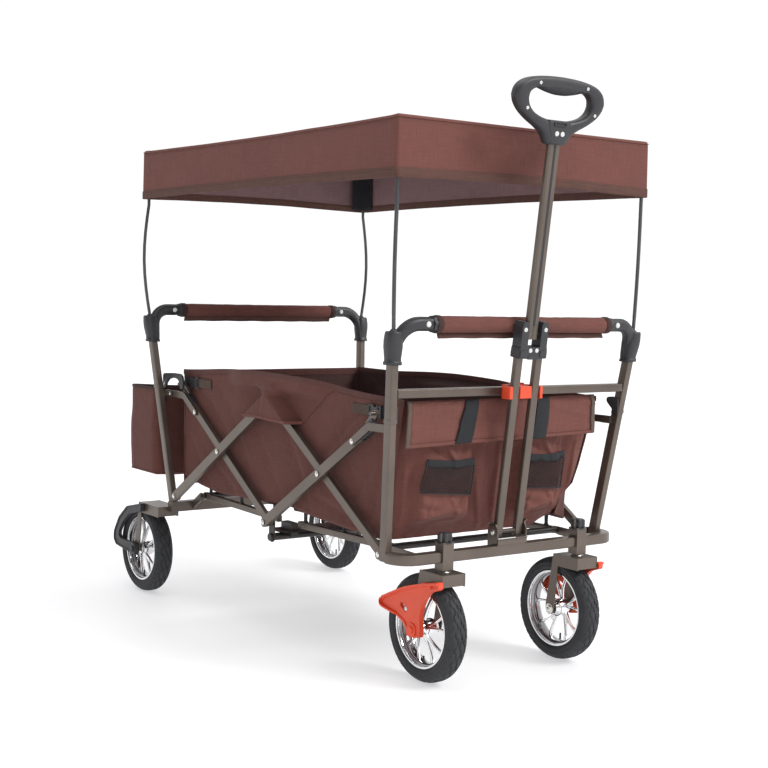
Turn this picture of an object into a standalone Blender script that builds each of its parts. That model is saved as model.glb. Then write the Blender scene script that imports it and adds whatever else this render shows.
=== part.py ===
"""Folding four-wheel wagon with a fabric tub, a sun canopy and a folding pull handle.

X is the width, Y the length with the pulling end at -Y, Z is up and the floor is Z = 0.
The two end frames keep their shape. Four pairs of side bars form a double scissor on each
side, so the wagon shortens along Y. All lengths are metres.
"""
import math

import bmesh
import bpy
from mathutils import Matrix, Vector

# ---------------------------------------------------------------- driving dimensions
CENTRE_Y = 0.0257          # the scissor's middle plane lies this far in front of the box centre
BAR_ANGLE = math.radians(32.0)   # side bars' slope when the wagon stands open
PIVOT_Y, PIVOT_Z = 0.392, 0.238  # bottom corner pivots
BAR_TOP_Y = 0.0            # top and bottom hubs lie on the middle plane
POST_W, POST_D = 0.015, 0.020    # post tube, across and along the wagon
POST_X0, POST_Y0, POST_Z0 = 0.2563, 0.4134, 0.240
POST_LEAN_X, POST_LEAN_Y = 0.0859, 0.1387
POST_TOP_Z = 0.5832
OUTER_X = (0.2545, 0.2635)       # outer layer of side bars
INNER_X = (0.2440, 0.2530)       # inner layer of side bars
BAR_H, BAR_H_IN = 0.020, 0.017   # bar heights
PIN_R, HOLE_R = 0.0038, 0.0045
HANDLEBAR_Y, HANDLEBAR_Z, HANDLEBAR_R = 0.477, 0.6555, 0.0155
CROSSBAR_Z = 0.5325
WHEEL_R, WHEEL_W, RIM_R = 0.100, 0.042, 0.0744
REAR_WHEEL = (0.263, 0.525)
CASTER = (0.163, 0.465)          # swivel axis
CASTER_TRAIL = 0.045
CANOPY_X, CANOPY_Z0, CANOPY_Z1 = 0.3024, 0.9045, 1.0132
TUB_TOP_Z, TUB_LOW_Z, TUB_T = 0.520, 0.262, 0.003
HANDLE_X, HANDLE_Y, HANDLE_Z = -0.010, -0.4585, 0.272
HANDLE_LEAN = math.radians(7.4)
KNUCKLE_S = 0.371                # distance of the handle's fold pin from its base pin
FLOOR_PIVOT_Y, FLOOR_PIVOT_Z = 0.355, 0.2405
FLOOR_TIP_Y = 0.040
GAP = 0.0003

BAR_L = PIVOT_Y / math.cos(BAR_ANGLE)
CROSS_Y, CROSS_Z = PIVOT_Y / 2, PIVOT_Z + BAR_L / 2 * math.sin(BAR_ANGLE)
HUB_TOP_Z = PIVOT_Z + BAR_L * math.sin(BAR_ANGLE)

# ---------------------------------------------------------------- scene and materials
for old in list(bpy.data.objects):
    bpy.data.objects.remove(old, do_unlink=True)
for old in list(bpy.data.meshes):
    bpy.data.meshes.remove(old)

COLOURS = {
    "bronze_metal": ((0.155, 0.135, 0.118), 0.38, 0.75),
    "black_plastic": ((0.030, 0.029, 0.031), 0.55, 0.0),
    "red_plastic": ((0.86, 0.110, 0.045), 0.42, 0.0),
    "brown_fabric": ((0.105, 0.048, 0.040), 0.88, 0.0),
    "tyre_rubber": ((0.028, 0.028, 0.031), 0.80, 0.0),
    "chrome_rim": ((0.80, 0.80, 0.81), 0.12, 1.0),
    "rod_metal": ((0.11, 0.11, 0.12), 0.40, 0.8),
}
MATERIALS = {}
for label, (colour, rough, metal) in COLOURS.items():
    mat = bpy.data.materials.new(label)
    mat.use_nodes = True
    bsdf = mat.node_tree.nodes.get("Principled BSDF")
    bsdf.inputs["Base Color"].default_value = (*colour, 1.0)
    bsdf.inputs["Roughness"].default_value = rough
    bsdf.inputs["Metallic"].default_value = metal
    mat.diffuse_color = (*colour, 1.0)
    MATERIALS[label] = mat


# ---------------------------------------------------------------- shape helpers
# A shape is (vertices, faces).
def box(x0, x1, y0, y1, z0, z1):
    v = [(x, y, z) for z in (z0, z1) for y in (y0, y1) for x in (x0, x1)]
    f = [(0, 1, 3, 2), (4, 6, 7, 5), (0, 4, 5, 1), (2, 3, 7, 6), (0, 2, 6, 4), (1, 5, 7, 3)]
    return v, f


def loft(rings, closed=False):
    """Skin between rings of equal length; the two ends are capped unless the loft is closed."""
    n = len(rings[0])
    v = [tuple(p) for ring in rings for p in ring]
    f = []
    m = len(rings)
    for i in range(m if closed else m - 1):
        j = (i + 1) % m
        for k in range(n):
            l = (k + 1) % n
            f.append((i * n + k, i * n + l, j * n + l, j * n + k))
    if not closed:
        f.append(tuple(range(n))[::-1])
        f.append(tuple((m - 1) * n + k for k in range(n)))
    return v, f


def prism_x(outline, x0, x1):
    """Outline of (y, z) points, pushed along X."""
    return loft([[(x, y, z) for y, z in outline] for x in (x0, x1)])


def cylinder(p0, p1, r0, r1=None, n=14, phase=0.0):
    p0, p1 = Vector(p0), Vector(p1)
    r1 = r0 if r1 is None else r1
    along = (p1 - p0).normalized()
    side = along.orthogonal().normalized()
    if abs(along.x) > 0.9:
        side = Vector((0, 0, 1))
    up = along.cross(side)
    rings = []
    for p, r in ((p0, r0), (p1, r1)):
        rings.append([p + r * (math.cos(a) * side + math.sin(a) * up)
                      for a in (phase + 2 * math.pi * k / n for k in range(n))])
    return loft(rings)


def rounded_section(w, h, r, steps=2):
    """Outline of a rounded rectangle, w wide and h high."""
    out = []
    for cx, cy, a0 in ((w / 2 - r, h / 2 - r, 0), (-w / 2 + r, h / 2 - r, 90),
                       (-w / 2 + r, -h / 2 + r, 180), (w / 2 - r, -h / 2 + r, 270)):
        for k in range(steps + 1):
            a = math.radians(a0 + 90 * k / steps)
            out.append((cx + r * math.cos(a), cy + r * math.sin(a)))
    return out


def sweep(path, section, side_hint=(1, 0, 0), scales=None):
    """Section (a, b) points carried along a path: a runs along the side hint, b across it."""
    pts = [Vector(p) for p in path]
    rings = []
    for i, p in enumerate(pts):
        t = (pts[min(i + 1, len(pts) - 1)] - pts[max(i - 1, 0)]).normalized()
        s = Vector(side_hint)
        s = (s - t * s.dot(t)).normalized()
        b = t.cross(s)
        k = 1.0 if scales is None else scales[i]
        rings.append([p + k * (a * s + c * b) for a, c in section])
    return loft(rings)


def round_section(r, n=8):
    return [(r * math.cos(2 * math.pi * k / n), r * math.sin(2 * math.pi * k / n)) for k in range(n)]


def lathe_x(profile, centre, n):
    """Closed (radius, x) profile turned about the X axis through the centre, with a vertex at the bottom."""
    cx, cy, cz = centre
    rings = []
    for k in range(n):
        a = 2 * math.pi * k / n - math.pi / 2
        rings.append([(cx + x, cy + r * math.cos(a), cz + r * math.sin(a)) for r, x in profile])
    return loft(rings, closed=True)


def capsule(p, q, r, ends=6):
    """(y, z) outline of a bar with round ends at p and q."""
    (y0, z0), (y1, z1) = p, q
    a = math.atan2(z1 - z0, y1 - y0)
    out = []
    for cy, cz, start in ((y1, z1, a - math.pi / 2), (y0, z0, a + math.pi / 2)):
        for k in range(ends + 1):
            t = start + math.pi * k / ends
            out.append((cy + r * math.cos(t), cz + r * math.sin(t)))
    return out


def open_box(x0, x1, y0, y1, z0, z1, wall, base, opening):
    """Thin-walled box, open at the top (opening=+1) or the bottom (opening=-1)."""
    outer = [(x0, y0), (x1, y0), (x1, y1), (x0, y1)]
    inner = [(x0 + wall, y0 + wall), (x1 - wall, y0 + wall), (x1 - wall, y1 - wall), (x0 + wall, y1 - wall)]
    shut, lip = (z0, z1) if opening > 0 else (z1, z0)
    floor = shut + base if opening > 0 else shut - base
    v = [(*p, shut) for p in outer] + [(*p, lip) for p in outer]
    v += [(*p, lip) for p in inner] + [(*p, floor) for p in inner]
    f = [(0, 1, 2, 3)]
    for k in range(4):
        m = (k + 1) % 4
        f += [(k, m, 4 + m, 4 + k), (4 + k, 4 + m, 8 + m, 8 + k), (8 + k, 8 + m, 12 + m, 12 + k)]
    f.append((12, 13, 14, 15))
    return v, f


def mesh_of(name, shape, matrix=None):
    v, f = shape
    bm = bmesh.new()
    verts = [bm.verts.new(p if matrix is None else matrix @ Vector(p)) for p in v]
    for face in f:
        bm.faces.new([verts[i] for i in face])
    bmesh.ops.recalc_face_normals(bm, faces=bm.faces)
    if bm.calc_volume(signed=True) < 0:
        bmesh.ops.reverse_faces(bm, faces=bm.faces)
    mesh = bpy.data.meshes.new(name)
    bm.to_mesh(mesh)
    bm.free()
    return mesh


def combine(name, first, others=(), cuts=(), matrix=None):
    """One solid: the first shape, joined with the others and then bored by the cuts."""
    work = bpy.data.objects.new(name + "_work", mesh_of(name + "_work", first, matrix))
    bpy.context.scene.collection.objects.link(work)
    for kind, shapes in (("UNION", others), ("DIFFERENCE", cuts)):
        for shape in shapes:
            tool = bpy.data.objects.new("tool", mesh_of("tool", shape, matrix))
            bpy.context.scene.collection.objects.link(tool)
            mod = work.modifiers.new("join", "BOOLEAN")
            mod.operation, mod.object, mod.solver = kind, tool, "EXACT"
            graph = bpy.context.evaluated_depsgraph_get()
            mesh = bpy.data.meshes.new_from_object(work.evaluated_get(graph))
            work.modifiers.clear()
            work.data = mesh
            bpy.data.objects.remove(tool, do_unlink=True)
    mesh = work.data
    mesh.materials.clear()
    bpy.data.objects.remove(work, do_unlink=True)
    return mesh


def flipped(mesh, name):
    """Mirror image of a mesh in the wagon's middle plane X = 0."""
    bm = bmesh.new()
    bm.from_mesh(mesh)
    for v in bm.verts:
        v.co.x = -v.co.x
    bmesh.ops.reverse_faces(bm, faces=bm.faces)
    out = bpy.data.meshes.new(name)
    bm.to_mesh(out)
    bm.free()
    return out


def end_swapped(mesh, name):
    """The same mesh turned half round about Z, which moves a front piece to the rear."""
    bm = bmesh.new()
    bm.from_mesh(mesh)
    bm.transform(Matrix.Rotation(math.pi, 4, "Z"))
    out = bpy.data.meshes.new(name)
    bm.to_mesh(out)
    bm.free()
    return out


# ---------------------------------------------------------------- bodies
ROOT = bpy.data.objects.new("wagon", None)
bpy.context.scene.collection.objects.link(ROOT)
ROOT.location = (0, -CENTRE_Y, 0)
BODIES = {}


def body(name, at, parent=None):
    """An empty on a joint's axis; `at` is in the frame whose Y = 0 is the scissor's middle plane."""
    empty = bpy.data.objects.new(name + "_axis", None)
    empty.empty_display_size = 0.03
    bpy.context.scene.collection.objects.link(empty)
    base = Vector((0, 0, 0))
    if parent:
        empty.parent, base = BODIES[parent][0], BODIES[parent][1]
    else:
        empty.parent = ROOT
    empty.location = Vector(at) - base
    BODIES[name] = (empty, Vector(at))


def place(name, mesh, material, owner, smooth=False):
    empty, at = BODIES[owner]
    mesh.name = name
    mesh.transform(Matrix.Translation(-at))
    mesh.materials.clear()
    mesh.materials.append(MATERIALS[material])
    if smooth:
        mesh.shade_smooth()
        mesh.set_sharp_from_angle(angle=math.radians(35))
    obj = bpy.data.objects.new(name, mesh)
    bpy.context.scene.collection.objects.link(obj)
    obj.parent = empty
    return obj


body("rear_frame", (0, 0, 0))
body("bars_b", (0, PIVOT_Y, PIVOT_Z), "rear_frame")
body("bars_a", (0, CROSS_Y, CROSS_Z), "bars_b")
body("bars_c", (0, 0, HUB_TOP_Z), "bars_b")
body("bars_d", (0, -CROSS_Y, CROSS_Z), "bars_c")
body("centre", (0, 0, PIVOT_Z), "bars_a")
body("front_frame", (0, -PIVOT_Y, PIVOT_Z), "bars_c")
body("rear_floor", (0, FLOOR_PIVOT_Y, FLOOR_PIVOT_Z), "rear_frame")
body("front_floor", (0, -FLOOR_PIVOT_Y, FLOOR_PIVOT_Z), "front_frame")
LINK_F = (0.424, 0.468)
body("rear_links", (0, LINK_F[0], LINK_F[1]), "rear_frame")
body("front_links", (0, -LINK_F[0], LINK_F[1]), "front_frame")
for side, s in (("left", -1), ("right", 1)):
    body("rear_wheel_" + side, (s * REAR_WHEEL[0], REAR_WHEEL[1], WHEEL_R), "rear_frame")
    body("rear_brake_" + side, (s * REAR_WHEEL[0], REAR_WHEEL[1], WHEEL_R), "rear_frame")
    body("caster_" + side, (s * CASTER[0], -CASTER[1], 0.21), "front_frame")
    body("front_wheel_" + side, (s * CASTER[0], -CASTER[1] + CASTER_TRAIL, WHEEL_R), "caster_" + side)
    body("front_brake_" + side, (s * CASTER[0], -CASTER[1] + CASTER_TRAIL, WHEEL_R), "caster_" + side)
body("handle_lower", (HANDLE_X, HANDLE_Y, HANDLE_Z), "front_frame")
HANDLE_TILT = (Matrix.Translation((HANDLE_X, HANDLE_Y, HANDLE_Z)) @ Matrix.Rotation(HANDLE_LEAN, 4, "X"))
KNUCKLE_AT = HANDLE_TILT @ Vector((0, 0, KNUCKLE_S))
body("handle_upper", KNUCKLE_AT, "handle_lower")


# ---------------------------------------------------------------- posts with their pivot lugs
def post_x(z):
    return POST_X0 + (z - POST_Z0) * POST_LEAN_X


def post_y(z):
    return POST_Y0 + (z - POST_Z0) * POST_LEAN_Y


def post_section(z, grow=0.0):
    """Rounded tube outline round the leaning post's axis at height z, on the +X, +Y corner."""
    return [(post_x(z) + a, post_y(z) + b, z)
            for a, b in rounded_section(POST_W + 2 * grow, POST_D + 2 * grow, 0.0028 + grow)]


def lug(y0, y1, z0, z1):
    return [(y0, z0), (y1, z0), (y1, z1), (y0, z1)]


def corner_post(name, low, plate, link_x):
    """Post on the +X, +Y corner: its tube, the plate that carries the bar's pin, and the brace's lug."""
    tube = loft([post_section(low), post_section(POST_TOP_Z)])
    eye = capsule((PIVOT_Y, PIVOT_Z), (PIVOT_Y + 0.018, PIVOT_Z + 0.002), 0.0095)
    fy, fz = LINK_F
    ear = [(fy - 0.0075, fz - 0.0075), (fy + 0.018, fz - 0.0075), (fy + 0.018, fz + 0.0075), (fy - 0.0075, fz + 0.0075)]
    bridge = box(link_x[0], post_x(fz), fy + 0.0125, fy + 0.0185, fz - 0.0070, fz + 0.0070)
    return combine(
        name, tube,
        [prism_x(eye, *plate), prism_x(ear, *link_x), bridge],
        [cylinder((plate[0] - 0.01, PIVOT_Y, PIVOT_Z), (plate[1] + 0.0, PIVOT_Y, PIVOT_Z), HOLE_R),
         cylinder((link_x[0] - 0.002, fy, fz), (link_x[1] + 0.002, fy, fz), HOLE_R)],
    )


REAR_PLATE = (0.2500, 0.2535)
FRONT_PLATE = (0.2542, 0.2575)
# The rear braces lie in the outer layer, the front ones outside it.
REAR_LINK_X, FRONT_LINK_X = (0.2548, 0.2573), (0.2648, 0.2673)
rear_post = corner_post("rear_post", 0.2240, REAR_PLATE, (0.2580, 0.2610))
place("rear_post_right", rear_post.copy(), "bronze_metal", "rear_frame", True)
place("rear_post_left", flipped(rear_post, "l"), "bronze_metal", "rear_frame", True)
front_post = corner_post("front_post", 0.2290, FRONT_PLATE, (0.2610, 0.2640))
place("front_post_left", end_swapped(front_post, "l"), "bronze_metal", "front_frame", True)
place("front_post_right", flipped(end_swapped(front_post, "r"), "r2"), "bronze_metal", "front_frame", True)


# ---------------------------------------------------------------- side bars
def seg(angle, dist, at):
    return at[0] + dist * math.cos(angle), at[1] + dist * math.sin(angle)


P, X, T, H = (PIVOT_Y, PIVOT_Z), (CROSS_Y, CROSS_Z), (0.0, HUB_TOP_Z), (0.0, PIVOT_Z)
A_TOP = seg(BAR_ANGLE, 0.203, X)
SLOT_PIN = (0.3118, X[1] + (0.3118 - X[0]) * math.tan(BAR_ANGLE))
REST_PIN = (0.380, 0.492)


def rod(p, x0, x1, r=PIN_R, n=14):
    return cylinder((x0, p[0], p[1]), (x1, p[0], p[1]), r, n=n)


def bar_with_pins(name, p, q, layer, height, pins=(), holes=(), extra=()):
    shape = prism_x(capsule(p, q, height / 2), *layer)
    return combine(name, shape, list(extra) + [rod(c, a, b) for c, a, b in pins],
                   [rod(c, layer[0] - 0.004, layer[1] + 0.004, HOLE_R) for c in holes])


# B runs from the rear bottom corner up to the top hub, in the outer layer. Its pins pass inwards.
bar_b = bar_with_pins("bar_b", P, T, OUTER_X, BAR_H,
                      pins=[(P, REAR_PLATE[0] - 0.0015, 0.2650), (X, 0.2428, 0.2650), (T, 0.2428, 0.2650)])
# A runs from the bottom hub up to the rear post, in the inner layer; its end bracket carries the rest pin.
bracket = [A_TOP, (REST_PIN[0] + 0.006, REST_PIN[1] - 0.002), (REST_PIN[0] + 0.004, REST_PIN[1] + 0.006),
           (REST_PIN[0] - 0.005, REST_PIN[1] + 0.006), (A_TOP[0] - 0.020, A_TOP[1] + 0.004)]
bar_a = bar_with_pins("bar_a", A_TOP, H, INNER_X, BAR_H_IN,
                      pins=[(REST_PIN, 0.2480, 0.2630)], holes=[X, H],
                      extra=[prism_x(bracket, 0.2470, 0.2515)])
MX = lambda p: (-p[0], p[1])
# C runs from the top hub down to the front bottom corner, in the inner layer.
bar_c = bar_with_pins("bar_c", T, MX(P), INNER_X, BAR_H_IN,
                      pins=[(MX(P), 0.2425, FRONT_PLATE[1] + 0.0010)], holes=[T, MX(X)])
# D runs from the bottom hub up to the front post, in the outer layer.
bracket_d = [MX(p) for p in bracket][::-1]
bar_d = bar_with_pins("bar_d", MX(A_TOP), H, OUTER_X, BAR_H,
                      pins=[(MX(X), 0.2428, 0.2650), (H, 0.2405, 0.2650), (MX(REST_PIN), 0.2580, 0.2732)],
                      extra=[prism_x(bracket_d, 0.2565, 0.2615)])
for label, mesh, owner in (("b", bar_b, "bars_b"), ("a", bar_a, "bars_a"), ("c", bar_c, "bars_c"), ("d", bar_d, "bars_d")):
    place(f"side_bar_{label}_right", mesh.copy(), "bronze_metal", owner, True)
    place(f"side_bar_{label}_left", flipped(mesh, "m"), "bronze_metal", owner, True)

# ---------------------------------------------------------------- cross tube under the bottom hubs, with a plate up to each hub
hub_plates = [prism_x(capsule(H, (0.0, 0.2065), 0.011), s * 0.2412, s * 0.2432) for s in (-1, 1)]
hinge_blocks = [box(s * 0.2000 - 0.0085, s * 0.2000 + 0.0085, -0.0200, 0.0200, 0.2065, 0.2340) for s in (-1, 1)]
centre_tube = combine("centre_tube", cylinder((-0.2485, 0, 0.2065), (0.2485, 0, 0.2065), 0.0078, n=14),
                      hub_plates + hinge_blocks, [rod(H, s * 0.2380, s * 0.2460, HOLE_R) for s in (-1, 1)])
place("centre_cross_tube", centre_tube, "bronze_metal", "centre", True)


# ---------------------------------------------------------------- rest hooks: a collar round the post and an arm under the rest pin
def rest_hook(name, arm_x):
    low, high = 0.4765, 0.512
    collar_out = [[(post_x(z) + a, post_y(z) + b, z) for a, b in rounded_section(POST_W + 0.0066, POST_D + 0.0066, 0.004)]
                  for z in (low, high)]
    bore = [[(post_x(z) + a, post_y(z) + b, z) for a, b in rounded_section(POST_W + 0.0006, POST_D + 0.0006, 0.0031)]
            for z in (low - 0.004, high + 0.004)]
    y, z = REST_PIN
    arm = [(y - 0.011, z + 0.004), (y - 0.0054, z + 0.004), (y - 0.0050, z - 0.0010), (y, z - 0.0056), (y + 0.0050, z - 0.0010),
           (y + 0.0054, z + 0.016), (y + 0.030, z + 0.019), (post_y(z) + 0.002, z + 0.019), (post_y(z) + 0.002, z - 0.014),
           (y + 0.030, z - 0.010), (y + 0.004, z - 0.0145), (y - 0.009, z - 0.012)]
    web = box(arm_x[0], post_x(z), post_y(low) - 0.0160, post_y(low) - 0.0100, low + 0.004, high - 0.002)
    return combine(name, loft(collar_out), [web, prism_x(arm, *arm_x)], [loft(bore)])


rear_hook = rest_hook("rear_hook", (0.2580, 0.2622))
place("rear_rest_hook_right", rear_hook.copy(), "black_plastic", "rear_frame", True)
place("rear_rest_hook_left", flipped(rear_hook, "m"), "black_plastic", "rear_frame", True)
front_hook = end_swapped(rest_hook("front_hook", (0.2680, 0.2722)), "f")
place("front_rest_hook_left", front_hook.copy(), "black_plastic", "front_frame", True)
place("front_rest_hook_right", flipped(front_hook, "m"), "black_plastic", "front_frame", True)


# ---------------------------------------------------------------- bent brace links, hinged beside each post
def brace(name, layer, lug_x):
    fy, fz = LINK_F
    bend = (fy - 0.058, fz - 0.001)
    far = (SLOT_PIN[0] + 0.001, SLOT_PIN[1] + 0.001)
    lower = prism_x(capsule(bend, far, 0.0072), *layer)
    upper = prism_x(capsule((fy, fz), bend, 0.0072), *layer)
    pin = rod((fy, fz), min(layer[0], lug_x[0] - 0.0012) + 0.0004, max(layer[1], lug_x[1] + 0.0012) - 0.0004)
    return combine(name, upper, [lower, pin])


rear_link = brace("rear_link", REAR_LINK_X, (0.2580, 0.2610))
place("rear_brace_right", rear_link.copy(), "bronze_metal", "rear_links", True)
place("rear_brace_left", flipped(rear_link, "m"), "bronze_metal", "rear_links", True)
front_link = end_swapped(brace("front_link", FRONT_LINK_X, (0.2610, 0.2640)), "f")
place("front_brace_left", front_link.copy(), "bronze_metal", "front_links", True)
place("front_brace_right", flipped(front_link, "m"), "bronze_metal", "front_links", True)

# ---------------------------------------------------------------- elbows on the post tops and padded handlebars between them
def elbow(name):
    z0 = POST_TOP_Z + GAP
    barrel = loft([[(post_x(z) + a, post_y(z) + b, z) for a, b in round_section(r, 12)] for z, r in ((z0, 0.0136), (0.640, 0.0145))])
    path = []
    for k in range(7):
        a = math.radians(15 * k)
        path.append((0.2440 + 0.0385 * math.cos(a), 0.461 + 0.016 * math.sin(a), 0.6160 + 0.0395 * math.sin(a)))
    path = [(0.2835, 0.4605, 0.5920)] + path + [(0.2124, HANDLEBAR_Y, HANDLEBAR_Z)]
    arm = sweep(path, round_section(0.0118, 10), side_hint=(0, 1, 0))
    return combine(name, arm, [barrel])


rear_elbow = elbow("elbow")
place("rear_elbow_right", rear_elbow.copy(), "black_plastic", "rear_frame", True)
place("rear_elbow_left", flipped(rear_elbow, "m"), "black_plastic", "rear_frame", True)
front_elbow = end_swapped(rear_elbow, "f")
place("front_elbow_left", front_elbow.copy(), "black_plastic", "front_frame", True)
place("front_elbow_right", flipped(front_elbow, "m"), "black_plastic", "front_frame", True)
for name, s, owner in (("rear_handlebar", 1, "rear_frame"), ("front_handlebar", -1, "front_frame")):
    bar = cylinder((-0.2120, s * HANDLEBAR_Y, HANDLEBAR_Z), (0.2120, s * HANDLEBAR_Y, HANDLEBAR_Z), HANDLEBAR_R, n=16)
    place(name, mesh_of(name, bar), "brown_fabric", owner, True)

# ---------------------------------------------------------------- canopy hoops: a sprung rod from each elbow and a batten under the roof
HOOP_X, HOOP_Y = 0.2942, 0.4762


def hoop(s, bow):
    foot = (post_x(0.6403), post_y(0.6403), 0.6412)
    side = [foot]
    for k in range(1, 11):
        t = k / 10
        x = foot[0] + (HOOP_X - foot[0]) * t + bow * math.sin(math.pi * min(t / 0.8, 1.0))
        y = foot[1] + (HOOP_Y - foot[1]) * t
        side.append((x, y, foot[2] + (0.955 - foot[2]) * t))
    for k in range(1, 5):
        a = math.radians(22.5 * k)
        side.append((HOOP_X - 0.045 * (1 - math.cos(a)), HOOP_Y, 0.955 + 0.0450 * math.sin(a)))
    path = [(-x, s * y, z) for x, y, z in side] + [(x, s * y, z) for x, y, z in reversed(side)]
    return sweep(path, round_section(0.0036, 8), side_hint=(0, 1, 0))


place("rear_canopy_hoop", mesh_of("hoop", hoop(1, 0.013)), "rod_metal", "rear_frame", True)
place("front_canopy_hoop", mesh_of("hoop", hoop(-1, 0.002)), "rod_metal", "front_frame", True)

# ---------------------------------------------------------------- canopy: a shallow fabric lid, open underneath, in a front half and a slightly smaller rear half that goes inside it
def lid_half(x, y_wall, y_open, top, wall, roof):
    """Roof with two side walls and one end wall; the end at y_open is open."""
    s = 1 if y_wall > y_open else -1
    outer = box(-x, x, min(y_wall, y_open), max(y_wall, y_open), CANOPY_Z0, top)
    ends = sorted((y_wall - s * wall, y_open - s * 0.010))
    inner = box(-x + wall, x - wall, *ends, CANOPY_Z0 - 0.010, top - roof)
    return combine("lid", outer, [], [inner])


CANOPY_FRONT_Y, CANOPY_REAR_Y = -0.4826, 0.4898
place("canopy_front", lid_half(CANOPY_X, CANOPY_FRONT_Y, 0.0, CANOPY_Z1, 0.0018, 0.0040), "brown_fabric", "front_frame")
place("canopy_rear", lid_half(CANOPY_X - 0.0021, CANOPY_REAR_Y, -0.0090, CANOPY_Z1 - 0.0043, 0.0015, 0.0030), "brown_fabric", "rear_frame")


# ---------------------------------------------------------------- wheels
def wheel(side, where, y, owner, label):
    x = side * where
    h = WHEEL_W / 2
    tyre = [(RIM_R + 0.0004, -h * 0.78), (0.0880, -h), (0.0965, -h * 0.80), (WHEEL_R, -h * 0.36),
            (WHEEL_R, h * 0.36), (0.0965, h * 0.80), (0.0880, h), (RIM_R + 0.0004, h * 0.78)]
    rim = [(0.0066, -0.0180), (0.0170, -0.0180), (0.0600, -0.0050), (RIM_R, -0.0165),
           (RIM_R, 0.0165), (0.0600, 0.0050), (0.0170, 0.0180), (0.0066, 0.0180)]
    place(f"{label}_tyre", mesh_of("t", lathe_x(tyre, (x, y, WHEEL_R), 28)), "tyre_rubber", owner, True)
    place(f"{label}_rim", mesh_of("r", lathe_x(rim, (x, y, WHEEL_R), 28)), "chrome_rim", owner, True)


for side, s in (("left", -1), ("right", 1)):
    wheel(s, REAR_WHEEL[0], REAR_WHEEL[1], "rear_wheel_" + side, "rear_wheel_" + side)
    wheel(s, CASTER[0], -CASTER[1] + CASTER_TRAIL, "front_wheel_" + side, "front_wheel_" + side)


# ---------------------------------------------------------------- forks: a channel over the tyre with two arms to the axle
def fork_shapes(x, s, y, f):
    """Shapes of a fork for the wheel centred at x, y. f is the block's front edge, s the outward side."""
    b = y - 0.007
    arm = [(f, 0.187), (f, 0.2105), (b, 0.2105), (y + 0.0110, 0.108)]
    arm += [(y + 0.0115 * math.cos(math.radians(a)), WHEEL_R + 0.0115 * math.sin(math.radians(a))) for a in (0, -45, -90, -135, -180)]
    arm += [(y - 0.0200, 0.187)]
    plates = [prism_x(arm, x + k * 0.0235, x + k * 0.0257) for k in (-1, 1)]
    top = box(x - 0.0250, x + 0.0250, f + 0.0004, b - 0.0004, 0.2070, 0.2101)
    front = box(x - 0.0250, x + 0.0250, f + 0.0004, f + 0.0028, 0.1885, 0.2090)
    axle = cylinder((x - s * 0.0275, y, WHEEL_R), (x + s * 0.0400, y, WHEEL_R), 0.0056, n=14)
    return [plates[0], plates[1], top, front, axle]


def caster_fork(s, name):
    x, y = s * CASTER[0], -CASTER[1] + CASTER_TRAIL
    parts = fork_shapes(x, s, y, -0.495)
    stem = cylinder((x, -CASTER[1], 0.2085), (x, -CASTER[1], 0.2700), 0.0060, n=14)
    collar = cylinder((x, -CASTER[1], 0.2085), (x, -CASTER[1], 0.2143), 0.0100, n=14)
    star = []
    for k in range(24):
        a = 2 * math.pi * k / 24
        r = 0.0125 if k % 4 < 2 else 0.0100
        star.append((r * math.cos(a), r * math.sin(a)))
    knob = loft([[(x + a, -CASTER[1] + b, z) for a, b in star] for z in (0.2659, 0.2810)])
    return combine(name, parts[2], [parts[0], parts[1], parts[3], parts[4], collar, stem, knob])


for side, s in (("left", -1), ("right", 1)):
    place("caster_fork_" + side, caster_fork(s, "fork"), "bronze_metal", "caster_" + side, True)

rear_shapes = [box(-0.2640, 0.2640, 0.4000, 0.4200, 0.2010, 0.2232)]
for s in (-1, 1):
    rear_shapes += fork_shapes(s * REAR_WHEEL[0], s, REAR_WHEEL[1], 0.4190)
    ear = [(0.4040, 0.2030), (0.4040, 0.2200), (0.3630, 0.2465), (0.3475, 0.2465), (0.3475, 0.2325), (0.3600, 0.2290)]
    rear_shapes.append(prism_x(ear, s * 0.2095, s * 0.2125))
rear_cuts = [rod((FLOOR_PIVOT_Y, FLOOR_PIVOT_Z), s * 0.2080, s * 0.2150, HOLE_R) for s in (-1, 1)]
place("rear_axle_beam", combine("rear_beam", rear_shapes[0], rear_shapes[1:], rear_cuts), "bronze_metal", "rear_frame", True)


# ---------------------------------------------------------------- brake levers on the axle ends
def lever(outline, x0, x1, at):
    return combine("lever", prism_x(outline, x0, x1), [], [rod(at, x0 - 0.003, x1 + 0.003, 0.0063)])


fy = -CASTER[1] + CASTER_TRAIL
front_outline = [(-0.499, 0.2010), (-0.497, 0.1870), (-0.452, 0.1770), (-0.4415, 0.1600), (-0.4360, 0.1120),
                 (-0.4330, 0.1000), (-0.4290, 0.0905), (-0.4200, 0.0870), (-0.4110, 0.0905), (-0.4070, 0.1000),
                 (-0.4000, 0.1210), (-0.3850, 0.1200), (-0.3300, 0.1165), (-0.3180, 0.1220), (-0.3150, 0.1300),
                 (-0.3180, 0.1390), (-0.3300, 0.1470), (-0.4000, 0.1770), (-0.4450, 0.1900)]
rear_outline = [(0.4870, 0.2110), (0.5610, 0.1950), (0.6030, 0.1640), (0.6290, 0.1270), (0.6300, 0.1080), (0.6180, 0.0960),
                (0.5560, 0.0900), (0.5340, 0.0900), (0.5250, 0.0870), (0.5160, 0.0905), (0.5120, 0.1000), (0.5150, 0.1100), (0.5250, 0.1140),
                (0.5900, 0.1130), (0.6030, 0.1200), (0.6020, 0.1290), (0.5850, 0.1520), (0.5500, 0.1780), (0.4870, 0.1930)]
front_x = CASTER[0] + 0.0275
rear_x = REAR_WHEEL[0] + 0.0275
front_lever = lever([(y, z) for y, z in front_outline], front_x, front_x + 0.0100, (fy, WHEEL_R))
rear_lever = lever(rear_outline, rear_x, rear_x + 0.0090, (REAR_WHEEL[1], WHEEL_R))
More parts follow.
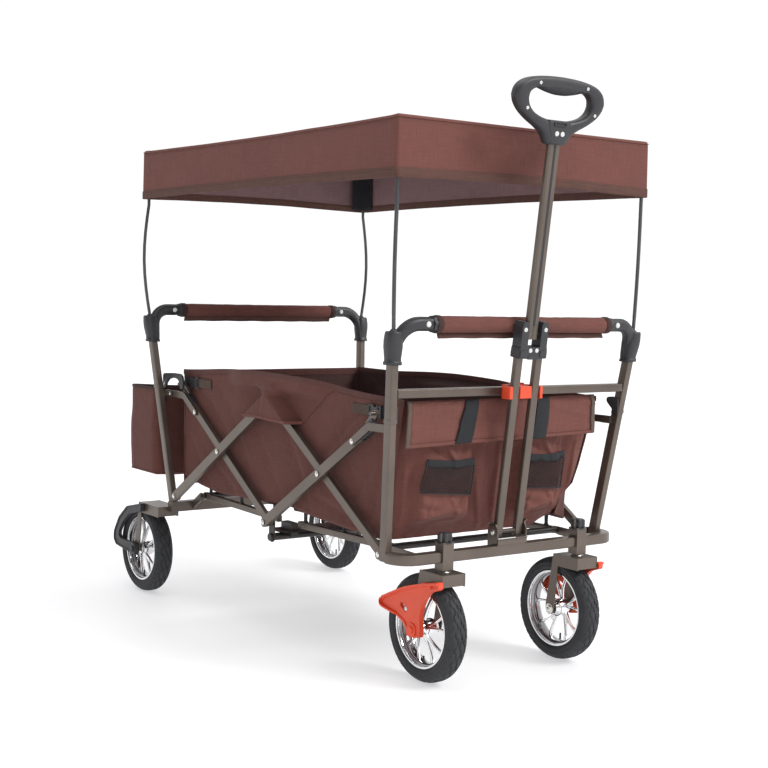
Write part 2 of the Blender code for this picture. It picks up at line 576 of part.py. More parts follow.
place("front_brake_lever_right", front_lever.copy(), "red_plastic", "front_brake_right", True)
place("front_brake_lever_left", flipped(front_lever, "m"), "red_plastic", "front_brake_left", True)
place("rear_brake_guard_right", rear_lever.copy(), "black_plastic", "rear_brake_right", True)
place("rear_brake_guard_left", flipped(rear_lever, "m"), "black_plastic", "rear_brake_left", True)

# ---------------------------------------------------------------- front lower beam: a bent tube with two caster housings and the handle's bracket
path = [(-POST_X0, -0.4252, 0.238), (-POST_X0, -0.4290, 0.238)]
for k in range(1, 6):
    a = math.radians(18 * k)
    path.append((-POST_X0 + 0.0330 * (1 - math.cos(a)), -0.4290 - 0.0330 * math.sin(a), 0.238))
path += [(-x, y, z) for x, y, z in reversed(path)]
beam = sweep(path, rounded_section(0.0205, 0.022, 0.004), side_hint=(0, 0, 1))
extra, bores = [], []
for s in (-1, 1):
    x = s * CASTER[0]
    extra.append(box(x - 0.0120, x + 0.0120, -CASTER[1] - 0.0120, -CASTER[1] + 0.0120, 0.2148, 0.2655))
    bores.append(cylinder((x, -CASTER[1], 0.2100), (x, -CASTER[1], 0.2700), 0.0068, n=14))
    ear = [(-0.4600, 0.2290), (-0.4600, 0.2440), (-0.3630, 0.2465), (-0.3475, 0.2465), (-0.3475, 0.2325), (-0.3630, 0.2300)]
    extra.append(prism_x(ear, s * 0.2095, s * 0.2125))
    bores.append(rod((-FLOOR_PIVOT_Y, FLOOR_PIVOT_Z), s * 0.2080, s * 0.2150, HOLE_R))
    hx = HANDLE_X + s * 0.0345
    cheek = [(-0.4725, 0.2440), (-0.4445, 0.2440), (-0.4445, 0.2760), (-0.4500, 0.2860), (-0.4670, 0.2860), (-0.4725, 0.2760)]
    extra.append(prism_x(cheek, hx - 0.0013, hx + 0.0013))
    bores.append(rod((HANDLE_Y, HANDLE_Z), hx - 0.004, hx + 0.004, HOLE_R))
extra.append(box(HANDLE_X - 0.0350, HANDLE_X + 0.0350, -0.4722, -0.4702, 0.2440, 0.2590))
place("front_lower_beam", combine("beam", beam, extra, bores), "bronze_metal", "front_frame", True)

# ---------------------------------------------------------------- front upper crossbar and the clip that holds the handle's tubes
cross = sweep([(-post_x(CROSSBAR_Z) + POST_W / 2 + 0.0012, -post_y(CROSSBAR_Z), CROSSBAR_Z),
               (post_x(CROSSBAR_Z) - POST_W / 2 - 0.0012, -post_y(CROSSBAR_Z), CROSSBAR_Z)],
              rounded_section(0.016, 0.018, 0.0028), side_hint=(0, 0, 1))
place("front_upper_crossbar", mesh_of("cross", cross), "bronze_metal", "front_frame", True)
front_face = -post_y(CROSSBAR_Z) - 0.009 - GAP
clip_back = box(HANDLE_X - 0.0410, HANDLE_X + 0.0410, -0.4835, front_face, 0.5190, 0.5450)
fingers = [box(HANDLE_X + a, HANDLE_X + b, -0.4985, -0.4800, 0.5205, 0.5435)
           for a, b in ((-0.0405, -0.0327), (-0.0143, 0.0143), (0.0327, 0.0405))]
place("handle_clip", combine("clip", clip_back, fingers), "red_plastic", "front_frame")

# ---------------------------------------------------------------- pull handle, modelled upright from its base pin and then leaned forward
tube_section = rounded_section(0.0165, 0.0120, 0.0030)
tubes = [sweep([(s * 0.0235, 0, -0.0095), (s * 0.0235, 0, KNUCKLE_S - 0.0434)], tube_section) for s in (-1, 1)]
base_pin = cylinder((-0.0362, 0, 0), (0.0362, 0, 0), PIN_R, n=14)
place("handle_lower_tubes", combine("tubes", tubes[0], [base_pin, tubes[1]], matrix=HANDLE_TILT),
      "bronze_metal", "handle_lower", True)
k0 = KNUCKLE_S - 0.0430
block = box(-0.0330, 0.0330, -0.0150, 0.0135, k0, k0 + 0.0180)
cheeks = [box(a, b, -0.0147, 0.0132, k0 + 0.0100, k0 + 0.0650) for a, b in ((-0.0327, -0.0146), (0.0146, 0.0327))]
pin_holes = [cylinder((a, 0, KNUCKLE_S), (b, 0, KNUCKLE_S), HOLE_R, n=14) for a, b in ((-0.0295, -0.0100), (0.0100, 0.0295))]
place("handle_knuckle", combine("knuckle", block, cheeks, pin_holes, matrix=HANDLE_TILT), "black_plastic", "handle_lower", True)
twin = []
for x, y, in ((0.0135, -0.0030), (0.0135, 0.0030), (0.0105, 0.0060), (0.0025, 0.0060), (0.0, 0.0040), (-0.0025, 0.0060),
              (-0.0105, 0.0060), (-0.0135, 0.0030), (-0.0135, -0.0030), (-0.0105, -0.0060), (-0.0025, -0.0060),
              (0.0, -0.0040), (0.0025, -0.0060), (0.0105, -0.0060)):
    twin.append((x, y))
upper = loft([[(x, y, s) for x, y in twin] for s in (KNUCKLE_S - 0.0100, 0.7117)])
upper_pin = cylinder((-0.0285, 0, KNUCKLE_S), (0.0285, 0, KNUCKLE_S), PIN_R, n=14)
place("handle_upper_tube", combine("upper", upper, [upper_pin], matrix=HANDLE_TILT), "bronze_metal", "handle_upper", True)


def grip_ring(half_w, low, high, pull, n=28):
    """D-shaped outline: flat-topped oval whose lower side runs in towards the neck."""
    out = []
    for k in range(n):
        a = 2 * math.pi * k / n
        c, s = math.cos(a), math.sin(a)
        x = half_w * math.copysign(abs(c) ** 0.80, c)
        z = (high if s > 0 else low) * math.copysign(abs(s) ** 0.85, s)
        if s < 0:
            x *= 1 - pull * abs(s) ** 1.6
        out.append((x, z))
    return out


GRIP_S = 0.7870
outer = grip_ring(0.1050, 0.0750, 0.0480, 0.84)
inner = grip_ring(0.0740, 0.0120, 0.0270, 0.35)
n = len(outer)
gv, gf = [], []
for y, shrink in ((-0.0130, 0.94), (-0.0060, 1.0), (0.0060, 1.0), (0.0130, 0.94)):
    gv += [(x * shrink, y, GRIP_S + z * shrink) for x, z in outer]
for y, swell in ((0.0130, 1.07), (0.0060, 1.0), (-0.0060, 1.0), (-0.0130, 1.07)):
    gv += [(x * swell, y, GRIP_S + z * swell + 0.0) for x, z in inner]
for i in range(8):
    j = (i + 1) % 8
    for k in range(n):
        m = (k + 1) % n
        gf.append((i * n + k, i * n + m, j * n + m, j * n + k))
neck = sweep([(0, 0, 0.7120), (0, 0, 0.7230), (0, 0, 0.7380)], rounded_section(0.0340, 0.0240, 0.006), scales=[0.94, 1.0, 1.0])
place("handle_grip", combine("grip", (gv, gf), [neck], matrix=HANDLE_TILT), "black_plastic", "handle_upper", True)


# ---------------------------------------------------------------- floor halves: two bars on a cross rod, with a board on top
def floor_half(name):
    """Rear half. Its cross rod turns in the ears of the rear beam; the bars dip slightly to the middle."""
    y0, z0, tip = FLOOR_PIVOT_Y, FLOOR_PIVOT_Z, FLOOR_TIP_Y
    dip = 0.0060
    shapes = []
    for s in (-1, 1):
        bar = [(y0 + 0.007, z0 - 0.0070), (y0 + 0.007, z0 + 0.0075), (tip, z0 + 0.0075 - dip), (tip, z0 - 0.0070 - dip)]
        shapes.append(prism_x(bar, s * 0.2000 - 0.006, s * 0.2000 + 0.006))
    cross_rod = cylinder((-0.2150, y0, z0), (0.2150, y0, z0), PIN_R, n=14)
    tube = cylinder((-0.2070, y0, z0), (0.2070, y0, z0), 0.0066, n=14)
    board = [(y0 + 0.004, z0 + 0.0068), (y0 + 0.004, z0 + 0.0130), (tip, z0 + 0.0130 - dip), (tip, z0 + 0.0068 - dip)]
    notches = [box(s * 0.2110 - 0.0030, s * 0.2110 + 0.0030, y0 - 0.0300, y0 + 0.0100, z0 + 0.0050, z0 + 0.0200) for s in (-1, 1)]
    return combine(name, prism_x(board, -0.2240, 0.2240), shapes + [tube, cross_rod], notches)


rear_half = floor_half("floor")
place("rear_floor_board", rear_half.copy(), "brown_fabric", "rear_floor", True)
place("front_floor_board", end_swapped(rear_half, "f"), "brown_fabric", "front_floor", True)


# ---------------------------------------------------------------- fabric tub in three nesting parts: rear, middle and front
def u_wall(x, t, y_open, wall_low, wall_high, thick_low, thick_high):
    """Side walls and an end wall that may lean. The open end is at y_open; wall_low and wall_high give the end wall's outer face."""
    s = 1 if wall_low > y_open else -1
    rings = []
    for z, wall, thick in ((TUB_LOW_Z, wall_low, thick_low), (TUB_TOP_Z, wall_high, thick_high)):
        rings.append([(-x, y_open, z), (-x, wall, z), (x, wall, z), (x, y_open, z), (x - t, y_open, z),
                      (x - t, wall - s * thick, z), (-x + t, wall - s * thick, z), (-x + t, y_open, z)])
    return loft(rings)


place("tub_rear", mesh_of("tub_rear", u_wall(0.2402, TUB_T, 0.100, 0.3755, 0.3755, 0.003, 0.003)), "brown_fabric", "rear_frame")
place("tub_front", mesh_of("tub_front", u_wall(0.2330, TUB_T, -0.100, -0.3850, -0.4330, 0.0130, 0.0330)), "brown_fabric", "front_frame")
sling = [(-0.2366, TUB_TOP_Z), (-0.2366, 0.2152), (0.2366, 0.2152), (0.2366, TUB_TOP_Z), (0.2336, TUB_TOP_Z),
         (0.2336, 0.2182), (-0.2336, 0.2182), (-0.2336, TUB_TOP_Z)]
sling_shape = loft([[(x, y, z) for x, z in sling] for y in (-0.105, 0.105)])
block_gaps = [box(s * 0.2000 - 0.0090, s * 0.2000 + 0.0090, -0.0205, 0.0205, 0.2100, 0.2200) for s in (-1, 1)]
place("tub_middle", combine("tub_middle", sling_shape, [], block_gaps), "brown_fabric", "centre")

# ---------------------------------------------------------------- rear bag behind the rear posts, open at the top
bag = open_box(-0.2720, 0.2720, 0.4640, 0.6020, 0.2760, 0.4780, 0.0030, 0.0030, 1)
place("rear_bag", mesh_of("bag", bag), "brown_fabric", "rear_frame")
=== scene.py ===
"""Looks of the folding wagon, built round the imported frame.

Shapes are written in the frame whose Y = 0 is the scissor's middle plane, as in the CAD source,
and moved by DY into the row frame when a piece is made. All lengths are metres.
"""
import math

import bmesh
import bpy
import numpy as np
from mathutils import Matrix, Vector, noise
from mathutils.geometry import tessellate_polygon


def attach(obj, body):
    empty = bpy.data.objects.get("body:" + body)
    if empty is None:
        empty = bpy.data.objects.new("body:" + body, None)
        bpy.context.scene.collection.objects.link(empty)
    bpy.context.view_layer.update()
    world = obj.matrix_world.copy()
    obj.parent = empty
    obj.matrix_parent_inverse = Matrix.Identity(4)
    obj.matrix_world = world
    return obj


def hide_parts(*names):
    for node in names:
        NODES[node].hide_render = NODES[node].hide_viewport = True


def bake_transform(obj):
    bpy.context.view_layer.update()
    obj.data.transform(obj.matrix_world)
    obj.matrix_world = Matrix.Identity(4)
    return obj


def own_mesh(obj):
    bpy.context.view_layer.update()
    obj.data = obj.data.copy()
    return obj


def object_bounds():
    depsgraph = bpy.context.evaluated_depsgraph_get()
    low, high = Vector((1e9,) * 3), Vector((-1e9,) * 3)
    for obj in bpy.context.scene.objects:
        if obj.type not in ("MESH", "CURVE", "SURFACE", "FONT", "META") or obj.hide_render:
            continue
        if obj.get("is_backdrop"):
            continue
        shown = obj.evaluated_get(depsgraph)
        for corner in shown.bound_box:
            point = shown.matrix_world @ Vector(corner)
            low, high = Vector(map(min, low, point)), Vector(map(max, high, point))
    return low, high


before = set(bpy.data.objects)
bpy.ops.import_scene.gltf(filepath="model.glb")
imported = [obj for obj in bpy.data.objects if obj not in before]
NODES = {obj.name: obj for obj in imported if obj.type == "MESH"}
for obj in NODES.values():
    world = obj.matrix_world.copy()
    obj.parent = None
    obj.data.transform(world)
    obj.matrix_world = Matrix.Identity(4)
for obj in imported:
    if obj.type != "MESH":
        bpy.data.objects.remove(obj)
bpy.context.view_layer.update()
DY = -0.0257
PI = math.pi


def V(x, y, z):
    return Vector((x, y + DY, z))


# ================================================================ camera, floor, light
scene = bpy.context.scene
scene.view_settings.view_transform = "Standard"
scene.view_settings.look = "None"

a, e, roll = math.radians(-35.7446), math.radians(3.88783), math.radians(1.38267)
back = Vector((math.sin(a) * math.cos(e), -math.cos(a) * math.cos(e), math.sin(e)))
right = Vector((0, 0, 1)).cross(back).normalized()
up = back.cross(right)
cam_right = math.cos(roll) * right + math.sin(roll) * up
cam_up = -math.sin(roll) * right + math.cos(roll) * up
cam_data = bpy.data.cameras.new("photo_camera")
cam_data.lens, cam_data.sensor_width = 65.272, 36.0
camera = bpy.data.objects.new("photo_camera", cam_data)
scene.collection.objects.link(camera)
turn = Matrix((cam_right, cam_up, back)).transposed()
camera.matrix_world = Matrix.Translation((-1.7006381, -2.4291344, 0.71376)) @ turn.to_4x4()
scene.camera = camera

world = bpy.data.worlds.new("studio")
scene.world = world
world.use_nodes = True
tree = world.node_tree
backdrop = tree.nodes["Background"]
backdrop.inputs["Color"].default_value = (1.0, 1.0, 1.0, 1.0)
where = tree.nodes.new("ShaderNodeTexCoord")
facing = tree.nodes.new("ShaderNodeVectorMath")
facing.operation = "DOT_PRODUCT"
facing.inputs[1].default_value = (0.584, 0.811, 0.0)
ramp = tree.nodes.new("ShaderNodeMapRange")
ramp.interpolation_type = "SMOOTHSTEP"
for socket, value in zip(ramp.inputs[1:5], (-0.10, 0.50, 0.0, 1.0)):
    socket.default_value = value
front = tree.nodes.new("ShaderNodeVectorMath")
front.operation = "DOT_PRODUCT"
front.inputs[1].default_value = (0.36, -0.93, 0.0)
front_ramp = tree.nodes.new("ShaderNodeMapRange")
front_ramp.interpolation_type = "SMOOTHSTEP"
for socket, value in zip(front_ramp.inputs[1:5], (-0.20, 0.65, 0.40, 0.88)):
    socket.default_value = value
blend = tree.nodes.new("ShaderNodeMix")
blend.inputs[3].default_value = 1.03
tree.links.new(where.outputs["Generated"], facing.inputs[0])
tree.links.new(facing.outputs["Value"], ramp.inputs[0])
tree.links.new(where.outputs["Generated"], front.inputs[0])
tree.links.new(front.outputs["Value"], front_ramp.inputs[0])
tree.links.new(ramp.outputs[0], blend.inputs[0])
tree.links.new(front_ramp.outputs[0], blend.inputs[2])
tree.links.new(blend.outputs[0], backdrop.inputs["Strength"])


def lamp(name, kind, at, aim, size, power):
    data = bpy.data.lights.new(name, kind)
    data.energy = power
    if kind == "AREA":
        data.shape, data.size = "DISK", size
    else:
        data.angle = size
    made = bpy.data.objects.new(name, data)
    scene.collection.objects.link(made)
    made.location = at
    made.rotation_mode = "QUATERNION"
    made.rotation_quaternion = (Vector(aim) - Vector(at)).to_track_quat("-Z", "Y")


lamp("key", "SUN", (1.6, -2.4, 3.0), (0, 0, 0.4), math.radians(24), 1.9)
lamp("top", "AREA", (-0.4, -0.2, 3.4), (0, 0, 0.4), 1.6, 26)


# ================================================================ node graphs
class Graph:
    """A material with one Principled shader and short ways to add nodes."""

    def __init__(self, name):
        self.mat = bpy.data.materials.new(name)
        self.mat.use_nodes = True
        self.tree = self.mat.node_tree
        self.tree.nodes.clear()
        out = self.tree.nodes.new("ShaderNodeOutputMaterial")
        self.bsdf = self.tree.nodes.new("ShaderNodeBsdfPrincipled")
        self.tree.links.new(self.bsdf.outputs[0], out.inputs[0])

    def feed(self, socket, value):
        if isinstance(value, bpy.types.NodeSocket):
            self.tree.links.new(value, socket)
        else:
            socket.default_value = value

    def add(self, kind, values=(), **props):
        node = self.tree.nodes.new("ShaderNode" + kind)
        for key, value in props.items():
            setattr(node, key, value)
        for key, value in dict(values).items():
            self.feed(node.inputs[key], value)
        return node

    def co(self, which):
        return self.add("TexCoord").outputs[which]

    def math(self, op, a, b=0.0):
        return self.add("Math", {0: a, 1: b}, operation=op).outputs[0]

    def noise(self, co, scale, detail=2.0, rough=0.5, distort=0.0):
        return self.add("TexNoise", {"Vector": co, "Scale": scale, "Detail": detail,
                                     "Roughness": rough, "Distortion": distort}).outputs[0]

    def stretched(self, co, scale):
        return self.add("Mapping", {"Vector": co, "Scale": scale}).outputs[0]

    def spread(self, value, lo, hi, to_lo, to_hi):
        return self.add("MapRange", {0: value, 1: lo, 2: hi, 3: to_lo, 4: to_hi}).outputs[0]

    def mix(self, fac, a, b, blend="MIX"):
        node = self.add("Mix", {0: fac, 6: a, 7: b}, data_type="RGBA", blend_type=blend)
        return node.outputs[2]

    def bump(self, height, strength, distance, normal=None):
        node = self.add("Bump", {"Height": height, "Strength": strength, "Distance": distance})
        if normal is not None:
            self.feed(node.inputs["Normal"], normal)
        return node.outputs[0]

    def set(self, **values):
        for key, value in values.items():
            self.feed(self.bsdf.inputs[key.replace("_", " ")], value)
        return self.mat


def rgb(r, g, b):
    return (r, g, b, 1.0)


def painted_metal(name, light, dark, metal, rough, speck=1.0):
    """Satin powder coat over tube: fine orange peel, sparse pale flakes, soft patches of gloss."""
    g = Graph(name)
    co = g.co("Object")
    patch = g.noise(co, 9.0, 3.0, 0.55)
    peel = g.noise(co, 620.0, 2.0, 0.5)
    flake = g.noise(co, 2300.0, 1.0, 0.5)
    base = g.mix(g.spread(patch, 0.35, 0.65, 0.0, 1.0), rgb(*dark), rgb(*light))
    base = g.mix(g.spread(flake, 0.60, 0.72, 0.0, 0.35 * speck), base, rgb(*[min(1, 2.2 * c) for c in light]))
    scuff = g.noise(g.stretched(co, (40.0, 40.0, 260.0)), 1.0, 4.0, 0.7, 0.4)
    roughness = g.math("ADD", g.spread(patch, 0.3, 0.7, rough - 0.05, rough + 0.05),
                       g.spread(scuff, 0.55, 0.8, 0.0, 0.12))
    return g.set(Base_Color=base, Metallic=metal, Roughness=roughness,
                 Normal=g.bump(peel, 0.10, 0.0004))


def moulded(name, light, dark, rough, grain=0.16, spec=0.5):
    """Moulded plastic with a fine spark-eroded grain and faint wipe marks."""
    g = Graph(name)
    co = g.co("Object")
    patch = g.noise(co, 22.0, 3.0, 0.6)
    fine = g.noise(co, 1500.0, 2.0, 0.6)
    wipe = g.noise(g.stretched(co, (60.0, 240.0, 90.0)), 1.0, 3.0, 0.6, 0.5)
    base = g.mix(g.spread(patch, 0.35, 0.68, 0.0, 1.0), rgb(*dark), rgb(*light))
    roughness = g.math("ADD", g.spread(patch, 0.3, 0.7, rough - 0.05, rough + 0.06),
                       g.spread(wipe, 0.5, 0.8, 0.0, 0.10))
    return g.set(Base_Color=base, Roughness=roughness, Normal=g.bump(fine, grain, 0.0003),
                 Specular_IOR_Level=spec)


def cloth(name, light, dark, coords="UV", pitch=0.0018, crease=0.30, rough=0.86, sheen=0.05):
    """Plain-weave canvas: threads with painted shade in the gaps between them, slubs, worn patches and soft creases."""
    g = Graph(name)
    co = g.co(coords)
    sep = g.add("SeparateXYZ", {0: co})
    k = 2 * PI / pitch
    waves = [g.math("SINE", g.math("MULTIPLY", sep.outputs[i], k)) for i in range(3)]
    weave = g.math("MULTIPLY", waves[0], waves[1])
    if coords == "Object":
        weave = g.math("ADD", weave, g.math("MULTIPLY", waves[1], waves[2]))
        weave = g.math("ADD", weave, g.math("MULTIPLY", waves[2], waves[0]))
    patch = g.noise(co, 6.0, 4.0, 0.62, 0.3)
    slub_a = g.noise(g.stretched(co, (520.0, 26.0, 520.0)), 1.0, 2.0, 0.5)
    slub_b = g.noise(g.stretched(co, (26.0, 520.0, 26.0)), 1.0, 2.0, 0.5)
    slub = g.math("ADD", slub_a, slub_b)
    base = g.mix(g.spread(patch, 0.34, 0.66, 0.0, 1.0), rgb(*dark), rgb(*light))
    base = g.mix(g.spread(slub, 0.75, 1.25, 0.0, 0.42), base, rgb(*[1.45 * c for c in light]))
    # Where the weave dips the colour darkens: painted shade between the threads.
    base = g.mix(g.spread(weave, -1.0, 0.2, 0.22, 0.0), base, rgb(*[0.45 * c for c in dark]))
    height = g.math("ADD", g.math("MULTIPLY", weave, 0.5), slub)
    fine = g.bump(height, 0.35, 0.00035)
    rumple = g.noise(co, 17.0, 3.0, 0.5, 0.8)
    return g.set(Base_Color=base, Roughness=g.spread(patch, 0.3, 0.7, rough - 0.06, rough + 0.05),
                 Sheen_Weight=sheen, Sheen_Roughness=0.5, Specular_IOR_Level=0.25,
                 Normal=g.bump(rumple, crease, 0.008, fine))


def webbing(name, light, dark):
    """Ribbed strap: ribs across, a fine twill over them, with painted shade in the twill's grooves."""
    g = Graph(name)
    co = g.co("UV")
    sep = g.add("SeparateXYZ", {0: co})
    rib = g.math("SINE", g.math("MULTIPLY", sep.outputs[1], 2 * PI / 0.0030))
    twill = g.math("SINE", g.math("MULTIPLY", g.math("ADD", sep.outputs[0], sep.outputs[1]), 2 * PI / 0.0014))
    patch = g.noise(co, 30.0, 3.0, 0.6)
    base = g.mix(g.spread(patch, 0.35, 0.7, 0.0, 1.0), rgb(*dark), rgb(*light))
    # Where the twill dips the colour darkens: painted shade in its grooves.
    base = g.mix(g.spread(twill, -1.0, 0.6, 0.35, 0.0), base, rgb(*[0.4 * c for c in dark]))
    height = g.math("ADD", g.math("MULTIPLY", rib, 0.6), g.math("MULTIPLY", twill, 0.4))
    return g.set(Base_Color=base, Roughness=g.spread(patch, 0.3, 0.7, 0.72, 0.86), Specular_IOR_Level=0.3,
                 Normal=g.bump(height, 0.5, 0.0005))


def tyre_rubber(name):
    g = Graph(name)
    co = g.co("Object")
    dust = g.noise(co, 26.0, 4.0, 0.65)
    fine = g.noise(co, 900.0, 2.0, 0.6)
    base = g.mix(g.spread(dust, 0.40, 0.70, 0.0, 1.0), rgb(0.024, 0.025, 0.028), rgb(0.042, 0.043, 0.047))
    return g.set(Base_Color=base, Roughness=g.spread(dust, 0.3, 0.7, 0.62, 0.80), Normal=g.bump(fine, 0.22, 0.0004),
                 Specular_IOR_Level=0.45)


def plated(name, tint, rough, smudge=0.10):
    g = Graph(name)
    co = g.co("Object")
    film = g.noise(co, 34.0, 4.0, 0.65)
    fine = g.noise(co, 300.0, 2.0, 0.5)
    base = g.mix(g.spread(film, 0.35, 0.7, 0.0, 1.0), rgb(*[0.86 * c for c in tint]), rgb(*tint))
    return g.set(Base_Color=base, Metallic=1.0, Roughness=g.spread(film, 0.45, 0.75, rough, rough + smudge),
                 Normal=g.bump(fine, 0.03, 0.0004))


BRONZE = painted_metal("bronze_coat", (0.150, 0.122, 0.102), (0.118, 0.095, 0.080), 0.62, 0.33)
ROD = painted_metal("rod_steel", (0.110, 0.110, 0.115), (0.075, 0.075, 0.080), 0.85, 0.30, 0.4)
DARK_STEEL = painted_metal("dark_steel", (0.050, 0.045, 0.042), (0.032, 0.029, 0.027), 0.5, 0.38, 0.5)
BLACK = moulded("black_moulded", (0.034, 0.034, 0.038), (0.025, 0.025, 0.028), 0.46)
ORANGE = moulded("orange_moulded", (0.80, 0.082, 0.026), (0.73, 0.066, 0.020), 0.40, 0.08)
RUBBER = tyre_rubber("rubber_tread")
CHROME = plated("chrome_plate", (0.90, 0.90, 0.91), 0.05)
SMOKED = plated("chrome_smoked", (0.34, 0.34, 0.35), 0.10)
RIVET = plated("rivet_steel", (0.84, 0.82, 0.78), 0.20, 0.15)
BROWN = ((0.158, 0.059, 0.048), (0.129, 0.048, 0.039))
SHELL = cloth("canvas_brown", *BROWN)
# Same canvas as SHELL with its colour at 0.8: painted shade on the tub's side walls, hub flaps, rear panel and rear
# bag.
SHELL_SHADED = cloth("canvas_brown_painted_shade", *[tuple(0.80 * c for c in tint) for tint in BROWN])
SHELL_3D = cloth("canvas_brown_sewn", *BROWN, "Object")
LINING = cloth("canvas_lining", (0.070, 0.034, 0.031), (0.052, 0.026, 0.024))
ROOF_LINING = cloth("canvas_roof_lining", (0.255, 0.160, 0.165), (0.215, 0.134, 0.138))
HEM = cloth("canvas_hem", (0.104, 0.050, 0.039), (0.084, 0.040, 0.032), crease=0.15)
TOP_HEM = cloth("canvas_top_hem", (0.105, 0.044, 0.038), (0.080, 0.034, 0.030), crease=0.2)
BINDING = webbing("binding_olive", (0.150, 0.105, 0.082), (0.110, 0.078, 0.062))
STRAP = webbing("strap_black", (0.030, 0.032, 0.036), (0.020, 0.021, 0.024))
TAB = webbing("strap_olive", (0.120, 0.078, 0.062), (0.088, 0.057, 0.046))
NET = moulded("net_thread", (0.034, 0.033, 0.034), (0.024, 0.023, 0.024), 0.75, 0.1, 0.3)
THREAD = moulded("sewing_thread", (0.165, 0.078, 0.064), (0.125, 0.058, 0.048), 0.7, 0.1, 0.3)
LACQUER = moulded("pin_head_white", (0.80, 0.80, 0.78), (0.70, 0.70, 0.69), 0.35, 0.05)


def floor_material():
    g = Graph("studio_floor")
    co = g.co("Object")
    soft = g.noise(co, 3.0, 3.0, 0.5)
    base = g.mix(soft, rgb(0.55, 0.552, 0.560), rgb(0.565, 0.567, 0.575))
    return g.set(Base_Color=base, Roughness=0.55, Specular_IOR_Level=0.2, Emission_Color=rgb(0.985, 0.987, 1.0), Emission_Strength=0.51)


# ================================================================ shapes, as (vertices, faces)
def box(x0, x1, y0, y1, z0, z1):
    v = [(x, y, z) for z in (z0, z1) for y in (y0, y1) for x in (x0, x1)]
    f = [(0, 1, 3, 2), (4, 6, 7, 5), (0, 4, 5, 1), (2, 3, 7, 6), (0, 2, 6, 4), (1, 5, 7, 3)]
    return v, f


def loft(rings, closed=False, caps=True):
    n, m = len(rings[0]), len(rings)
    v = [tuple(p) for ring in rings for p in ring]
    f = []
    for i in range(m if closed else m - 1):
        j = (i + 1) % m
        for k in range(n):
            l = (k + 1) % n
            f.append((i * n + k, i * n + l, j * n + l, j * n + k))
    if not closed and caps:
        f.append(tuple(range(n))[::-1])
        f.append(tuple((m - 1) * n + k for k in range(n)))
    return v, f


def prism_x(outline, x0, x1):
    return loft([[(x, y, z) for y, z in outline] for x in (x0, x1)])


def plate_x(outline, holes, x0, x1):
    """Flat plate across X with an outline and holes of (y, z) points."""
    loops = [outline] + list(holes)
    flat = [p for loop in loops for p in loop]
    n = len(flat)
    tris = tessellate_polygon([[Vector((y, z, 0)) for y, z in loop] for loop in loops])
    v = [(x, y, z) for x in (x0, x1) for y, z in flat]
    f = [tuple(t) for t in tris] + [tuple(i + n for i in t) for t in tris]
    at = 0
    for loop in loops:
        m = len(loop)
        for k in range(m):
            l = (k + 1) % m
            f.append((at + k, at + l, at + l + n, at + k + n))
        at += m
    return v, f


def rounded_section(w, h, r, steps=3):
    out = []
    for cx, cy, a0 in ((w / 2 - r, h / 2 - r, 0), (-w / 2 + r, h / 2 - r, 90),
                       (-w / 2 + r, -h / 2 + r, 180), (w / 2 - r, -h / 2 + r, 270)):
        for k in range(steps + 1):
            t = math.radians(a0 + 90 * k / steps)
            out.append((cx + r * math.cos(t), cy + r * math.sin(t)))
    return out


def rounded_outline(points, r=0.004, steps=4):
    """Cuts each corner of an outline with an arc."""
    out = []
    n = len(points)
    for i in range(n):
        p0, p1, p2 = Vector(points[i - 1]), Vector(points[i]), Vector(points[(i + 1) % n])
        d0, d1 = (p0 - p1), (p2 - p1)
        c = min(r, d0.length * 0.45, d1.length * 0.45)
        q0, q1 = p1 + d0.normalized() * c, p1 + d1.normalized() * c
        for k in range(steps + 1):
            t = k / steps
            out.append(tuple((1 - t) ** 2 * q0 + 2 * t * (1 - t) * p1 + t * t * q1))
    return out


def circle(r, n=16, ratio=1.0):
    return [(r * math.cos(2 * PI * k / n), ratio * r * math.sin(2 * PI * k / n)) for k in range(n)]


def smooth_path(points, per=6):
    """Catmull-Rom curve through the points."""
    pts = [Vector(p) for p in points]
    out = []
    for i in range(len(pts) - 1):
        p0, p1, p2, p3 = pts[max(i - 1, 0)], pts[i], pts[i + 1], pts[min(i + 2, len(pts) - 1)]
        for k in range(per):
            t = k / per
            out.append(0.5 * ((2 * p1) + (p2 - p0) * t + (2 * p0 - 5 * p1 + 4 * p2 - p3) * t * t
                              + (3 * p1 - p0 - 3 * p2 + p3) * t * t * t))
    out.append(pts[-1])
    return out


def sweep(path, sections, side_hint=(1, 0, 0)):
    """Section (a, b) points along a path: a runs along the side hint, b across it. One section, or one per point."""
    pts = [Vector(p) for p in path]
    rings = []
    for i, p in enumerate(pts):
        t = (pts[min(i + 1, len(pts) - 1)] - pts[max(i - 1, 0)]).normalized()
        s = Vector(side_hint)
        s = (s - t * s.dot(t)).normalized()
        b = t.cross(s)
        section = sections[i] if isinstance(sections[0][0], (list, tuple)) else sections
        rings.append([p + (u * s + c * b) for u, c in section])
    return loft(rings)


def lathe(profile, origin, direction, n=20, closed=False, start=0.0):
    """(radius, distance along) profile turned about a direction."""
    o, d = Vector(origin), Vector(direction).normalized()
    s = d.orthogonal().normalized()
    if abs(d.x) > 0.9:
        s = Vector((0, 0, -1))
    t = d.cross(s)
    rings = []
    for k in range(n):
        q = start + 2 * PI * k / n
        out = math.cos(q) * s + math.sin(q) * t
        rings.append([o + r * out + h * d for r, h in profile])
    v, f = loft(rings, closed=True)
    if not closed:
        m = len(profile)
        f = [face for face in f if not {face[0] % m, face[1] % m} == {0, m - 1}]
    return v, f


def capsule(p, q, r, ends=8):
    (y0, z0), (y1, z1) = p, q
    t0 = math.atan2(z1 - z0, y1 - y0)
    out = []
    for cy, cz, start in ((y1, z1, t0 - PI / 2), (y0, z0, t0 + PI / 2)):
        for k in range(ends + 1):
            t = start + PI * k / ends
            out.append((cy + r * math.cos(t), cz + r * math.sin(t)))
    return out


